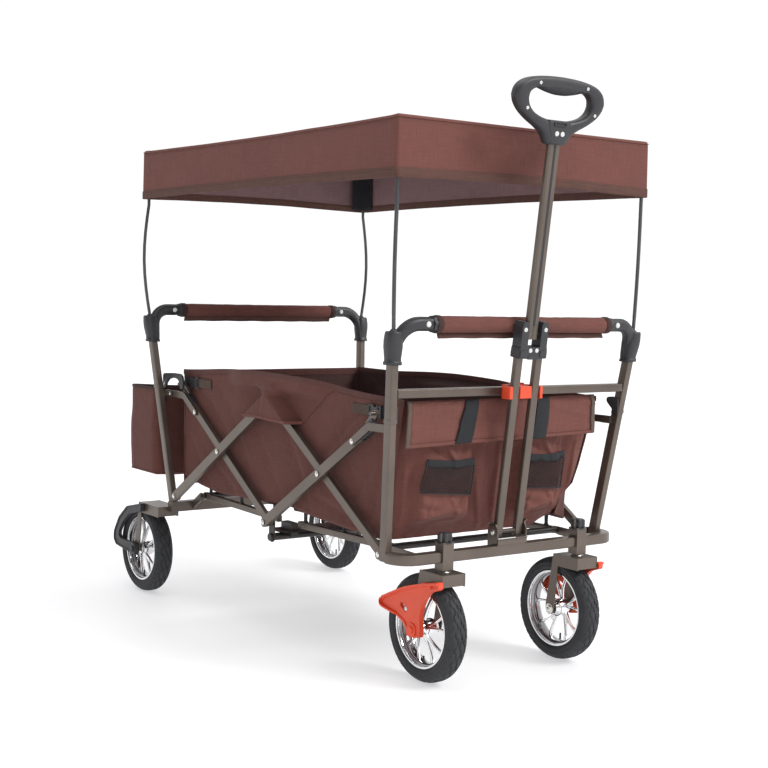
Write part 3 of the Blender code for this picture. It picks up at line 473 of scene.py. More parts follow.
def mirrored(shape):
    v, f = shape
    return [(-p[0], p[1], p[2]) for p in v], [tuple(reversed(face)) for face in f]


def turned(shape):
    """Half a turn about Z: a rear shape becomes a front one."""
    v, f = shape
    return [(-p[0], -p[1], p[2]) for p in v], f


def moved(shape, matrix):
    v, f = shape
    return [tuple(matrix @ Vector(p)) for p in v], f


def rivet(at, direction, r=0.0056, h=0.0022, n=18):
    """Domed rivet head with a fine rim."""
    profile = [(0.0, h), (0.35 * r, 0.96 * h), (0.68 * r, 0.72 * h), (0.86 * r, 0.42 * h), (0.90 * r, 0.25 * h),
               (r, 0.20 * h), (r, -0.0004), (0.0, -0.0004)]
    return lathe(profile, at, direction, n)


def screw(at, direction, r=0.0042, h=0.0016, n=18):
    """Pan head with a shallow socket."""
    profile = [(0.0, 0.35 * h), (0.34 * r, 0.40 * h), (0.40 * r, h), (0.70 * r, h), (0.92 * r, 0.70 * h), (r, 0.2 * h),
               (r, -0.0006), (0.0, -0.0006)]
    return lathe(profile, at, direction, n)


def nut(at, direction, r=0.0085, h=0.0050):
    """Hexagon nut over a washer, with a domed end."""
    o, d = Vector(at), Vector(direction).normalized()
    washer = lathe([(0.0, 0.0012), (1.25 * r, 0.0012), (1.3 * r, 0.0008), (1.3 * r, 0.0), (0.0, 0.0)], o, d, 24)
    hexa = lathe([(0.0, h), (0.72 * r, h), (0.95 * r, 0.86 * h), (r, 0.72 * h), (r, 0.0010), (0.0, 0.0010)], o, d, 6)
    dome = lathe([(0.0, h + 0.0022), (0.25 * r, h + 0.0019), (0.44 * r, h + 0.0008), (0.48 * r, h - 0.001), (0.0, h - 0.001)], o, d, 16)
    return [washer, hexa, dome]


# ================================================================ making pieces


def finish_piece(obj, body, replaces=()):
    if body:
        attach(obj, body)
    if replaces:
        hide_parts(*([replaces] if isinstance(replaces, str) else replaces))
    return obj


def make(name, shapes, mat, body, replaces=(), bevel=0.0, segs=2, sharp=40, subsurf=0, crease_angle=None):
    """One object from several shapes. mat is one material, or a list with one per shape."""
    bm = bmesh.new()
    mats = mat if isinstance(mat, list) else [mat]
    for i, (v, f) in enumerate(shapes):
        verts = [bm.verts.new(V(*p)) for p in v]
        for face in f:
            try:
                made = bm.faces.new([verts[k] for k in face])
            except ValueError:
                continue
            made.material_index = i if isinstance(mat, list) else 0
            made.smooth = True
    bmesh.ops.remove_doubles(bm, verts=bm.verts, dist=2e-6)
    bmesh.ops.recalc_face_normals(bm, faces=bm.faces)
    mesh = bpy.data.meshes.new(name)
    bm.to_mesh(mesh)
    bm.free()
    used = []
    if isinstance(mat, list):
        for m in mats:
            if m not in used:
                used.append(m)
        index = [used.index(m) for m in mats]
        values = np.zeros(len(mesh.polygons), np.int32)
        mesh.polygons.foreach_get("material_index", values)
        mesh.polygons.foreach_set("material_index", np.array(index, np.int32)[values])
    else:
        used = mats
    for m in used:
        mesh.materials.append(m)
    obj = bpy.data.objects.new(name, mesh)
    scene.collection.objects.link(obj)
    if bevel:
        mod = obj.modifiers.new("edges", "BEVEL")
        mod.width, mod.segments, mod.limit_method = bevel, segs, "ANGLE"
        mod.angle_limit = math.radians(sharp)
        mod.harden_normals = True
        mod.use_clamp_overlap = True
    elif subsurf:
        mod = obj.modifiers.new("round", "SUBSURF")
        mod.levels = mod.render_levels = subsurf
    else:
        mesh.set_sharp_from_angle(angle=math.radians(sharp))
    return finish_piece(obj, body, replaces)


def grid(name, f, nu, nv, mats, thick, body, replaces=(), closed_u=False, offset=-1.0,
         flip=False, su=None, sv=None):
    """A sheet over a grid: f(u, v) with u and v from 0 to 1, UVs in metres along its middle lines."""
    us = [su(i / nu) if su else i / nu for i in range(nu + 1)]
    vs = [sv(j / nv) if sv else j / nv for j in range(nv + 1)]
    pts = [[V(*f(u, w)) for u in us] for w in vs]
    row, col = pts[nv // 2], [line[nu // 2] for line in pts]
    ul, vl = [0.0], [0.0]
    for i in range(nu):
        ul.append(ul[-1] + (row[i + 1] - row[i]).length)
    for j in range(nv):
        vl.append(vl[-1] + (col[j + 1] - col[j]).length)
    count = nu if closed_u else nu + 1
    verts = [pts[j][i] for j in range(nv + 1) for i in range(count)]
    faces, uvs = [], []
    for j in range(nv):
        for i in range(nu):
            k = (i + 1) % count if closed_u else i + 1
            face = [j * count + i, j * count + k, (j + 1) * count + k, (j + 1) * count + i]
            uv = [(ul[i], vl[j]), (ul[i + 1], vl[j]), (ul[i + 1], vl[j + 1]), (ul[i], vl[j + 1])]
            if flip:
                face.reverse()
                uv.reverse()
            faces.append(face)
            uvs += uv
    return cloth_mesh(name, verts, faces, uvs, mats, thick, body, replaces, offset)


def cloth_mesh(name, verts, faces, uvs, mats, thick, body, replaces=(), offset=-1.0):
    mesh = bpy.data.meshes.new(name)
    mesh.from_pydata([tuple(p) for p in verts], [], faces)
    layer = mesh.uv_layers.new(name="UVMap")
    layer.data.foreach_set("uv", np.array(uvs, np.float32).ravel())
    mesh.shade_smooth()
    mats = mats if isinstance(mats, (list, tuple)) else [mats]
    for m in mats:
        mesh.materials.append(m)
    obj = bpy.data.objects.new(name, mesh)
    scene.collection.objects.link(obj)
    if thick:
        mod = obj.modifiers.new("cloth", "SOLIDIFY")
        mod.thickness, mod.offset = thick, offset
        mod.material_offset = 1 if len(mats) > 1 else 0
        mod.material_offset_rim = 0
    return finish_piece(obj, body, replaces)


def stitches(name, runs, body, mat=None, pitch=0.0046, length=0.0031, width=0.0007, height=0.0005):
    """Rows of raised stitches. A run is a list of (point, outward normal) in the middle-plane frame."""
    verts, faces = [], []
    for run in runs:
        pts = [Vector(p) for p, _ in run]
        nor = [Vector(n) for _, n in run]
        along = [0.0]
        for i in range(len(pts) - 1):
            along.append(along[-1] + (pts[i + 1] - pts[i]).length)
        if along[-1] < pitch:
            continue
        at, i = pitch / 2, 0
        while at < along[-1] - length / 2:
            while along[i + 1] < at:
                i += 1
            t = (at - along[i]) / max(along[i + 1] - along[i], 1e-9)
            p = pts[i].lerp(pts[i + 1], t)
            n = nor[i].lerp(nor[i + 1], t).normalized()
            d = (pts[i + 1] - pts[i]).normalized()
            s = d.cross(n).normalized()
            base = len(verts)
            for dd, ss, hh in ((-1, -1, 0), (-1, 1, 0), (1, 1, 0), (1, -1, 0), (-0.55, -0.5, 1), (-0.55, 0.5, 1), (0.55, 0.5, 1), (0.55, -0.5, 1)):
                q = p + d * (dd * length / 2) + s * (ss * width / 2) + n * (height * hh - 0.0002)
                verts.append((q.x, q.y, q.z))
            faces += [tuple(base + k for k in face) for face in ((3, 2, 1, 0), (4, 5, 6, 7), (0, 1, 5, 4), (1, 2, 6, 5), (2, 3, 7, 6), (3, 0, 4, 7))]
            at += pitch
    return make(name, [(verts, faces)], mat or THREAD, body, sharp=70)


def fade(t, lo, hi):
    t = max(0.0, min(1.0, (t - lo) / (hi - lo)))
    return t * t * (3 - 2 * t)


def ruffle(x, y, z=0.0):
    """Smooth noise between about -1 and 1."""
    return noise.noise(Vector((x, y, z)))


# ================================================================ frame measures repeated from the CAD source
def post_x(z):
    return 0.2563 + (z - 0.240) * 0.0859


def post_y(z):
    return 0.4134 + (z - 0.240) * 0.1387


P, X, T, H = (0.392, 0.238), (0.196, 0.3605), (0.0, 0.4830), (0.0, 0.238)
LINK_F, SLOT_PIN, REST_PIN, A_TOP = (0.424, 0.468), (0.3118, 0.4328), (0.380, 0.492), (0.3682, 0.4680)
REAR_WHEEL, FRONT_WHEEL, CASTER = (0.263, 0.525), (0.163, -0.420), (0.163, -0.465)
SIDES = (("left", -1), ("right", 1))


# ================================================================ CAD metal that keeps its shape: softened edges and a coat
def soften(node, mat, width=0.0007, segs=2, angle=38):
    obj = NODES[node]
    for i in range(max(1, len(obj.material_slots))):
        if obj.material_slots:
            obj.material_slots[i].link = "OBJECT"
            obj.material_slots[i].material = mat
    weld = obj.modifiers.new("weld", "WELD")
    weld.merge_threshold = 0.00001
    if width:
        mod = obj.modifiers.new("edges", "BEVEL")
        mod.width, mod.segments, mod.limit_method = width, segs, "ANGLE"
        mod.angle_limit = math.radians(angle)
        mod.use_clamp_overlap = True
    mod = obj.modifiers.new("shade", "WEIGHTED_NORMAL")
    mod.keep_sharp = False
    mod.weight = 60


for label in "abcd":
    for side, s in SIDES:
        soften(f"side_bar_{label}_{side}", BRONZE, 0.0010)
for end in ("front", "rear"):
    for side, s in SIDES:
        soften(f"{end}_post_{side}", BRONZE, 0.0006)
        soften(f"{end}_brace_{side}", BRONZE, 0.0004)
    soften(f"{end}_canopy_hoop", ROD, 0.0)
for node, mat in (("front_lower_beam", BRONZE), ("front_upper_crossbar", BRONZE), ("rear_axle_beam", BRONZE),
                  ("centre_cross_tube", DARK_STEEL), ("handle_lower_tubes", BRONZE), ("handle_upper_tube", BRONZE),
                  ("caster_fork_left", BRONZE), ("caster_fork_right", BRONZE)):
    soften(node, mat, 0.0005)


# ================================================================ wheels
def tyre(x, y):
    """Tyre with a rounded crown, three wavy grooves round the tread and shoulder cuts."""
    n, h = 216, 0.021
    profile = []
    for q in np.linspace(-1, 1, 41):
        r = 0.1000 - 0.0062 * abs(q) ** 3.2
        profile.append((r, 0.0182 * q))
    side = [(0.0905, 0.0206), (0.0868, 0.0210), (0.0862, 0.0205), (0.0842, 0.0206), (0.0836, 0.0211), (0.0800, 0.0203), (0.0768, 0.0185), (0.0750, 0.0166)]
    whole = [(r, -a) for r, a in reversed(side)] + profile + side + [(0.0746, 0.0), ]
    rings = []
    for k in range(n):
        t = 2 * PI * k / n
        ring = []
        for r, a in whole:
            if r > 0.0925:
                cut = 0.0
                for base, amp, phase in ((-0.0090, 0.0024, 0.0), (0.0, 0.0021, 1.6), (0.0090, 0.0024, 3.1)):
                    wave = math.sin(22 * t + phase)
                    d = abs(a - base - amp * math.tanh(2.2 * wave) / 0.976)
                    cut = max(cut, 1 - fade(d, 0.0007, 0.0016))
                if abs(a) > 0.0135:
                    w = abs(((t * 44 / (2 * PI)) % 1.0) - 0.5)
                    cut = max(cut, (1 - fade(w, 0.06, 0.14)) * fade(abs(a), 0.0135, 0.0150) * 0.8)
                r = r - 0.0025 * cut
            ring.append((x + a, y + r * math.cos(t), 0.100 + r * math.sin(t)))
        rings.append(ring)
    return loft(rings, closed=True)


def rim(x, y, s):
    """Plated rim: stepped barrel, five pairs of curved spokes and a domed hub. s points outward."""
    shapes = []
    barrel = [(0.0744, -0.0160), (0.0736, -0.0172), (0.0720, -0.0176), (0.0702, -0.0170), (0.0694, -0.0150), (0.0690, -0.0118),
              (0.0662, -0.0100), (0.0648, -0.0060), (0.0640, 0.0), (0.0648, 0.0060), (0.0662, 0.0100), (0.0690, 0.0118),
              (0.0694, 0.0150), (0.0702, 0.0170), (0.0720, 0.0176), (0.0736, 0.0172), (0.0744, 0.0160), (0.0744, 0.0)]
    lips = [lathe([barrel[-1]] + barrel[:6], (x, y, 0.100), (1, 0, 0), 96, closed=True),
            lathe(barrel[11:18], (x, y, 0.100), (1, 0, 0), 96, closed=True)]
    well = [lathe([(0.0744, -0.0118), *barrel[5:12], (0.0744, 0.0118)], (x, y, 0.100), (1, 0, 0), 96, closed=True)]
    for k in range(5):
        for w in (-1, 1):
            path, sections = [], []
            for i in range(9):
                q = i / 8
                r = 0.0130 + (0.0655 - 0.0130) * q
                t = 2 * PI * k / 5 + PI / 2 + w * (0.10 + 0.20 * q ** 1.3)
                bulge = s * (0.0085 * (1 - q) ** 1.5 + 0.0010)
                path.append((x + bulge, y + r * math.cos(t), 0.100 + r * math.sin(t)))
                wide = 0.0066 - 0.0022 * math.sin(PI * q) + 0.0016 * q ** 3
                sections.append(rounded_section(0.0062 + 0.0030 * (1 - q), wide, 0.0018, 2))
            shapes.append(sweep(path, sections, side_hint=(1, 0, 0)))
    for k in range(5):
        t = 2 * PI * k / 5 + PI / 2
        web = [(x + s * (0.0070 - 0.004 * q), y + (0.014 + 0.022 * q) * math.cos(t), 0.100 + (0.014 + 0.022 * q) * math.sin(t)) for q in (0, 0.33, 0.66, 1)]
        secs = [rounded_section(0.0034, w, 0.0012, 2) for w in (0.0060, 0.0085, 0.0090, 0.0060)]
        shapes.append(sweep(web, secs, side_hint=(1, 0, 0)))
    hub = [(0.0066, -0.0182), (0.0120, -0.0182), (0.0128, -0.0174), (0.0130, -0.0120), (0.0165, -0.0095), (0.0170, -0.0080), (0.0170, 0.0080),
           (0.0165, 0.0095), (0.0130, 0.0120), (0.0128, 0.0174), (0.0120, 0.0182), (0.0066, 0.0182)]
    shapes.append(lathe(hub, (x, y, 0.100), (1, 0, 0), 40, closed=True))
    return shapes + lips, well


for side, s in SIDES:
    for end, (wx, wy) in (("rear", REAR_WHEEL), ("front", FRONT_WHEEL)):
        owner = f"{end}_wheel_{side}"
        make(f"{owner}_tyre_tread", [tyre(s * wx, wy)], RUBBER, owner, f"{owner}_tyre", sharp=60)
        bright, well = rim(s * wx, wy, s)
        make(f"{owner}_rim_spoked", bright, CHROME, owner, f"{owner}_rim", sharp=38)
        make(f"{owner}_rim_well", well, SMOKED, owner, sharp=38)
        valve = lathe([(0.0, 0.0120), (0.0016, 0.0118), (0.0020, 0.0100), (0.0020, 0.0010), (0.0030, 0.0), (0.0, 0.0)],
                      (s * wx + s * 0.006, wy, 0.100 - 0.0640), (0, 0, 1), 14)
        make(f"{owner}_valve", [valve], BLACK, owner)

# ================================================================ rivets, bolts and knobs
for label, owner, spots in (("b", "bars_b", (P, X, T)), ("d", "bars_d", ((-X[0], X[1]), H))):
    for side, s in SIDES:
        heads = [rivet((s * 0.2648, y, z), (s, 0, 0)) for y, z in spots]
        make(f"rivets_{label}_{side}", heads, RIVET, owner)
for side, s in SIDES:
    make(f"rivets_c_{side}", [rivet((s * 0.2584, -P[0], P[1]), (s, 0, 0), 0.0052, 0.0016)], RIVET, "bars_c")
    make(f"rivets_rear_link_{side}", [rivet((s * 0.2618, LINK_F[0], LINK_F[1]), (s, 0, 0), 0.0052, 0.0018),
                                      rivet((s * 0.2571, SLOT_PIN[0] + 0.002, SLOT_PIN[1] + 0.002), (s, 0, 0), 0.0050, 0.0018)],
         RIVET, "rear_links")
    make(f"rivets_front_link_{side}", [rivet((s * 0.2671, -LINK_F[0], LINK_F[1]), (s, 0, 0), 0.0052, 0.0018),
                                       rivet((s * 0.2671, -SLOT_PIN[0] - 0.002, SLOT_PIN[1] + 0.002), (s, 0, 0), 0.0052, 0.0018)],
         RIVET, "front_links")
    # Axle ends: a nut outside the lever, a bolt head inside the fork.
    for end, (wx, wy), owner in (("rear", REAR_WHEEL, "rear_frame"), ("front", FRONT_WHEEL, f"caster_{side}")):
        tip = lathe([(0.0, 0.0016), (0.0058, 0.0014), (0.0070, 0.0006), (0.0072, -0.0015), (0.0, -0.0015)], (s * (wx + 0.0398), wy, 0.100), (s, 0, 0), 20)
        make(f"{end}_axle_cap_{side}", [tip], ORANGE if end == "front" else BLACK, owner, sharp=30)
        make(f"{end}_axle_nut_{side}", nut((s * (wx - 0.0257), wy, 0.100), (-s, 0, 0), 0.0080, 0.0042), RIVET, owner, sharp=30)
    # Star knob on the caster stem.
    cx, cy = s * CASTER[0], CASTER[1]
    rings = []
    for z, grow in ((0.2657, 0.90), (0.2668, 1.0), (0.2790, 1.0), (0.2808, 0.94), (0.2816, 0.80)):
        ring = []
        for k in range(72):
            t = 2 * PI * k / 72
            r = (0.0124 + 0.0016 * math.tanh(2.5 * math.cos(6 * t))) * grow
            ring.append((cx + r * math.cos(t), cy + r * math.sin(t), z))
        rings.append(ring)
    cap = lathe([(0.0, 0.2828), (0.0040, 0.2826), (0.0052, 0.2820), (0.0055, 0.2812), (0.0, 0.2812)], (cx, cy, 0), (0, 0, 1), 20)
    make(f"caster_star_knob_{side}", [loft(rings), cap], BLACK, f"caster_{side}", sharp=50)
    collar = [lathe([(0.0100, 0.2102), (0.0116, 0.2104), (0.0118, 0.2112), (0.0112, 0.2120), (0.0100, 0.2122)], (cx, cy, 0), (0, 0, 1), 28, closed=True)]
    make(f"caster_bearing_ring_{side}", collar, RIVET, f"caster_{side}")
    bushes = [lathe([(0.0130, 0.0), (0.0142, 0.0006), (0.0142, 0.0026), (0.0130, 0.0032), (0.0070, 0.0032), (0.0070, 0.0)], (cx, cy, 0.2624), (0, 0, 1), 28, closed=True)]
    make(f"caster_housing_bush_{side}", [moved(b, Matrix.Translation((0, 0, 0.0))) for b in bushes], BLACK, "front_frame")

# ================================================================ rest hooks on the posts, and sleeves on the bars' upper ends
HOOK = [(0.4565, 0.4790), (0.4565, 0.5085), (0.4500, 0.5125), (0.4100, 0.5150), (0.3740, 0.5150), (0.3640, 0.5100), (0.3590, 0.4960), (0.3600, 0.4840),
        (0.3680, 0.4800), (0.3740, 0.4850), (0.3760, 0.4960), (0.3860, 0.5030), (0.4060, 0.5050), (0.4280, 0.5000), (0.4400, 0.4900), (0.4420, 0.4790)]
SHORT_HOOK = [(0.4565, 0.4790), (0.4565, 0.5085), (0.4500, 0.5125), (0.4380, 0.5135), (0.4270, 0.5120), (0.4240, 0.5060), (0.4280, 0.5000), (0.4400, 0.4900), (0.4420, 0.4790)]
for end, owner, x0 in (("rear", "rear_frame", 0.2578), ("front", "front_frame", 0.2678)):
    for side, s in SIDES:
        sign = 1 if end == "rear" else -1
        loop_yz = rounded_outline([(sign * y, z) for y, z in (HOOK if end == "rear" else SHORT_HOOK)], 0.0030, 3)
        xa, xb = s * x0, s * (x0 + 0.0046)
        shapes = [plate_x(loop_yz, [], min(xa, xb), max(xa, xb))]
        rib = rounded_outline([(sign * y, z) for y, z in ((0.4540, 0.4990), (0.4540, 0.5085), (0.4480, 0.5110), (0.4100, 0.5135), (0.3760, 0.5130), (0.3760, 0.5105), (0.4100, 0.5110), (0.4470, 0.5085), (0.4500, 0.4990))], 0.0010, 2)
        xa, xb = s * (x0 + 0.0040), s * (x0 + 0.0058)
        if end == "rear":
            shapes.append(plate_x(rib, [], min(xa, xb), max(xa, xb)))
        make(f"{end}_rest_hook_arch_{side}", shapes, BLACK, owner, f"{end}_rest_hook_{side}", bevel=0.0006)
        band_rows = []
        for z, grow in ((0.4800, 0.0), (0.4806, 0.0006), (0.4866, 0.0006), (0.4872, 0.0)):
            band_rows.append([(s * (post_x(z) + p), sign * (post_y(z) + q), z) for p, q in rounded_section(0.0158 + 2 * grow, 0.0208 + 2 * grow, 0.0030 + grow, 3)])
        make(f"{end}_rest_hook_band_{side}", [loft(band_rows)], BRONZE, owner)
        make(f"{end}_rest_hook_pin_{side}", [rivet((s * (x0 + 0.0044), sign * 0.4480, 0.4870), (s, 0, 0), 0.0042, 0.0014)], RIVET, owner)

for label, owner, x0, x1 in (("a", "bars_a", 0.2432, 0.2538), ("d", "bars_d", 0.2537, 0.2643)):
    top_end = Vector((A_TOP[0] if label == "a" else -A_TOP[0], A_TOP[1]))
    d = (Vector(H) - top_end).normalized()
    w = Vector((-d.y, d.x))
    for side, s in SIDES:
        a0, a1 = top_end - d * 0.0105, top_end + d * 0.0400
        loop_yz = rounded_outline([tuple(a0 + w * 0.0112), tuple(a0 - w * 0.0112), tuple(a1 - w * 0.0103), tuple(a1 + w * 0.0103)], 0.0035, 3)
        shapes = [plate_x(loop_yz, [], min(s * x0, s * x1), max(s * x0, s * x1))]
        for at in (0.012, 0.024, 0.036):
            a0, a1 = top_end + d * (at - 0.0016), top_end + d * (at + 0.0016)
            loop_yz = [tuple(a0 + w * 0.0118), tuple(a0 - w * 0.0118), tuple(a1 - w * 0.0118), tuple(a1 + w * 0.0118)]
            shapes.append(plate_x(loop_yz, [], min(s * (x0 - 0.0003), s * (x1 + 0.0003)), max(s * (x0 - 0.0003), s * (x1 + 0.0003))))
        make(f"bar_{label}_top_sleeve_{side}", shapes, BLACK, owner, bevel=0.0006)

# ================================================================ elbows, collars and handlebars
def elbow_shapes():
    """On the +X, +Y corner."""
    barrel = []
    for z, r in ((0.5836, 0.0150), (0.5846, 0.0157), (0.5880, 0.0157), (0.5892, 0.0150), (0.5905, 0.0141), (0.5960, 0.0141), (0.6060, 0.0152),
                 (0.6160, 0.0161), (0.6260, 0.0160), (0.6350, 0.0150), (0.6400, 0.0142), (0.6418, 0.0132), (0.6424, 0.0118)):
        barrel.append([(post_x(z) + p, post_y(z) + q, z) for p, q in rounded_section(1.93 * r, 2 * r, 0.78 * r, 5)])
    pts = [(0.2838, 0.4600, 0.5900), (0.2836, 0.4602, 0.6000)]
    for k in range(0, 7):
        t = math.radians(8 + 82 * k / 6)
        pts.append((0.2430 + 0.0395 * math.cos(t), 0.4615 + 0.0155 * math.sin(t), 0.6145 + 0.0410 * math.sin(t)))
    pts += [(0.2280, 0.4770, 0.6555), (0.2160, 0.4770, 0.6555)]
    path = smooth_path(pts, 4)
    sections = []
    for i in range(len(path)):
        q = i / (len(path) - 1)
        tall = 0.0236 - 0.0020 * math.sin(PI * q)
        sections.append(rounded_section(0.0212, tall, 0.0078, 4))
    arm = sweep(path, sections, side_hint=(0, 1, 0))
    rib_path = [p + Vector((0, 0, 0)) for p in path[3:-2]]
    rib = sweep(rib_path, [rounded_section(0.0060, t[0] if isinstance(t, tuple) else 0.0252, 0.0016, 2) for t in [(0.0252,)] * len(rib_path)], side_hint=(0, 1, 0))
    teeth = []
    for k in range(28):
        t = 2 * PI * k / 28
        r = 0.0148 if k % 4 < 2 else 0.0136
        teeth.append((r * math.cos(t), r * math.sin(t)))
    collar = loft([[(x, 0.4770 + p, 0.6555 + q) for p, q in teeth] for x in (0.2168, 0.2120, 0.2062)])
    return [loft(barrel), arm, rib, collar]


def elbow_bolts():
    out = []
    for k in (-1, 1):
        out.append(lathe([(0.0, 0.0022), (0.0030, 0.0021), (0.0046, 0.0014), (0.0052, 0.0004), (0.0052, -0.0010), (0.0, -0.0010)],
                         (0.2290, 0.4770 + k * 0.0106, 0.6552), (0, k, 0), 22))
    return out


def rod_grommet():
    z = 0.6412
    return lathe([(0.0040, 0.0), (0.0072, 0.0), (0.0074, 0.0012), (0.0062, 0.0030), (0.0048, 0.0046), (0.0040, 0.0048)],
                 (post_x(z), post_y(z), z), (0.086, 0.1387, 1), 22, closed=True)


for end in ("rear", "front"):
    for side, s in SIDES:
        def orient(shape):
            if end == "rear":
                return shape if s > 0 else mirrored(shape)
            return turned(shape) if s < 0 else turned(mirrored(shape))
        make(f"{end}_elbow_moulding_{side}", [orient(q) for q in elbow_shapes()], BLACK, f"{end}_frame",
             f"{end}_elbow_{side}", bevel=0.0006, sharp=45)
        make(f"{end}_elbow_bolts_{side}", [orient(q) for q in elbow_bolts()], LACQUER, f"{end}_frame")
        make(f"{end}_rod_grommet_{side}", [orient(rod_grommet())], BLACK, f"{end}_frame")


def cloth_pad(obj, pressure, cap, frames=20):
    """Inflates a closed mesh with Blender's cloth, caps how far its points move, and applies the result."""
    rest = np.array([v.co for v in obj.data.vertices])
    mod = obj.modifiers.new("inflate", "CLOTH")
    st = mod.settings
    st.use_pressure, st.uniform_pressure_force = True, pressure
    st.effector_weights.gravity = 0.0
    st.quality = 4
    st.mass = 0.2
    st.tension_stiffness = st.compression_stiffness = 22
    st.bending_stiffness = 0.5
    mod.collision_settings.use_collision = False
    mod.point_cache.frame_start, mod.point_cache.frame_end = 1, frames
    for k in range(1, frames + 1):
        scene.frame_set(k)
    graph = bpy.context.evaluated_depsgraph_get()
    shown = obj.evaluated_get(graph).data
    moved_to = np.array([v.co for v in shown.vertices])
    scene.frame_set(1)
    obj.modifiers.remove(mod)
    step = moved_to - rest
    far = np.linalg.norm(step, axis=1, keepdims=True)
    step *= np.minimum(1.0, cap / np.maximum(far, 1e-9))
    obj.data.vertices.foreach_set("co", (rest + step).ravel())
    obj.data.update()


def remeshed(name, shapes, voxel, mat):
    """Closed shapes joined by a voxel remesh into one skin."""
    bm = bmesh.new()
    for v, f in shapes:
        verts = [bm.verts.new(V(*p)) for p in v]
        for face in f:
            bm.faces.new([verts[k] for k in face])
    bmesh.ops.recalc_face_normals(bm, faces=bm.faces)
    mesh = bpy.data.meshes.new(name)
    bm.to_mesh(mesh)
    bm.free()
    obj = bpy.data.objects.new(name, mesh)
    scene.collection.objects.link(obj)
    mod = obj.modifiers.new("remesh", "REMESH")
    mod.mode, mod.voxel_size = "VOXEL", voxel
    mod.use_smooth_shade = True
    graph = bpy.context.evaluated_depsgraph_get()
    baked = bpy.data.meshes.new_from_object(obj.evaluated_get(graph))
    obj.modifiers.clear()
    obj.data = baked
    baked.materials.clear()
    baked.materials.append(mat)
    baked.shade_smooth()
    return obj


def handlebar(end, s):
    """Foam-padded sleeve between the elbows, with a seam flap underneath and cuffs at its ends."""
    y0, z0 = s * 0.477, 0.6555
    rings = []
    n = 64
    for i in range(n + 1):
        q = i / n
        x = -0.2085 + 0.4170 * q
        edge = min(q, 1 - q) * 0.417
        r = 0.0146 * (0.82 + 0.18 * fade(edge, 0.0, 0.012))
        r += 0.0004 * ruffle(x * 40, s * 3.0) + 0.0003 * ruffle(x * 110, 7.0)
        rings.append([(x, y0 + r * math.cos(t), z0 + 1.06 * r * math.sin(t) - 0.0004) for t in (2 * PI * k / 24 for k in range(24))])
    pad = remeshed(f"{end}_handlebar_sleeve", [loft(rings)], 0.0042, SHELL_3D)
    cloth_pad(pad, 2.0, 0.0022)
    co = np.array([v.co for v in pad.data.vertices])
    for i, p in enumerate(co):
        around = math.atan2(p[2] - z0, (p[1] - DY - y0))
        wrinkle = 0.00045 * ruffle(p[0] * 60, around * 1.2, 3.0 + s) + 0.00025 * ruffle(p[0] * 160, around * 2, 9.0)
        d = np.array([0.0, p[1] - DY - y0, p[2] - z0])
        co[i] = p + d / max(np.linalg.norm(d), 1e-6) * wrinkle
    pad.data.vertices.foreach_set("co", co.ravel())
    mod = pad.modifiers.new("round", "SUBSURF")
    mod.levels = mod.render_levels = 1
    finish_piece(pad, f"{end}_frame", f"{end}_handlebar")
    # Seam flap under the sleeve, doubled cloth with a row of stitches.
    def flap(u, v):
        x = -0.200 + 0.400 * u
        drop = 0.0148 + 0.0100 * v
        return (x, y0 - s * 0.0035 * (1 - v) + 0.0008 * ruffle(x * 30, v), z0 - drop - 0.0004 * math.sin(x * 90))
    flap_obj = grid(f"{end}_handlebar_flap", flap, 80, 3, HEM, 0.0022, f"{end}_frame", offset=0.0)
    run = [((-0.198 + 0.396 * i / 60, y0 - s * 0.0035 * 0.5 + 0.0012, z0 - 0.0210), (0, 1, 0)) for i in range(61)]
    run2 = [((-0.198 + 0.396 * i / 60, y0 - s * 0.0035 * 0.5 - 0.0012, z0 - 0.0210), (0, -1, 0)) for i in range(61)]
    stitches(f"{end}_handlebar_stitches", [run, run2], f"{end}_frame")
    for side, k in SIDES:
        cuff = lathe([(0.0134, -0.0010), (0.0158, 0.0), (0.0162, 0.0040), (0.0160, 0.0105), (0.0150, 0.0120), (0.0120, 0.0120), (0.0120, -0.0010)],
                     (k * 0.2095, y0, z0 - 0.0004), (-k, 0, 0), 30, closed=True)
        make(f"{end}_handlebar_cuff_{side}", [cuff], TOP_HEM_3D, f"{end}_frame")


TOP_HEM_3D = cloth("canvas_cuff", (0.060, 0.030, 0.027), (0.042, 0.022, 0.020), "Object", crease=0.2)
handlebar("rear", 1)
handlebar("front", -1)

# ================================================================ canopy
TOP, LOW = 1.0122, 0.9045
HX, HY, CORNER, SHIFT_Y = 0.3024, 0.4858, 0.0055, 0.0034


def outline(per_x, per_y, corner=7):
    """Rounded rectangle, counter-clockwise: x, y, normal, side number, place along that side from 0 to 1."""
    out = []
    walls = (((HX, -HY + CORNER), (HX, HY - CORNER), (1, 0), per_y, 0), ((HX - CORNER, HY), (-HX + CORNER, HY), (0, 1), per_x, 1),
             ((-HX, HY - CORNER), (-HX, -HY + CORNER), (-1, 0), per_y, 2), ((-HX + CORNER, -HY), (HX - CORNER, -HY), (0, -1), per_x, 3))
    for (x0, y0), (x1, y1), nrm, count, number in walls:
        for i in range(count + 1):
            q = i / count
            out.append((x0 + (x1 - x0) * q, y0 + (y1 - y0) * q, nrm[0], nrm[1], number, q))
        cx, cy = x1 - CORNER * nrm[0], y1 - CORNER * nrm[1]
        t0 = math.atan2(nrm[1], nrm[0])
        for i in range(1, corner):
            t = t0 + (PI / 2) * i / corner
            out.append((cx + CORNER * math.cos(t), cy + CORNER * math.sin(t), math.cos(t), math.sin(t), number, 1.0))
    return [(x, y + SHIFT_Y, *rest) for x, y, *rest in out]


RIM = outline(72, 112)
RIM_LENGTH = [0.0]
for i in range(len(RIM)):
    p, q = RIM[i], RIM[(i + 1) % len(RIM)]
    RIM_LENGTH.append(RIM_LENGTH[-1] + math.hypot(q[0] - p[0], q[1] - p[1]))


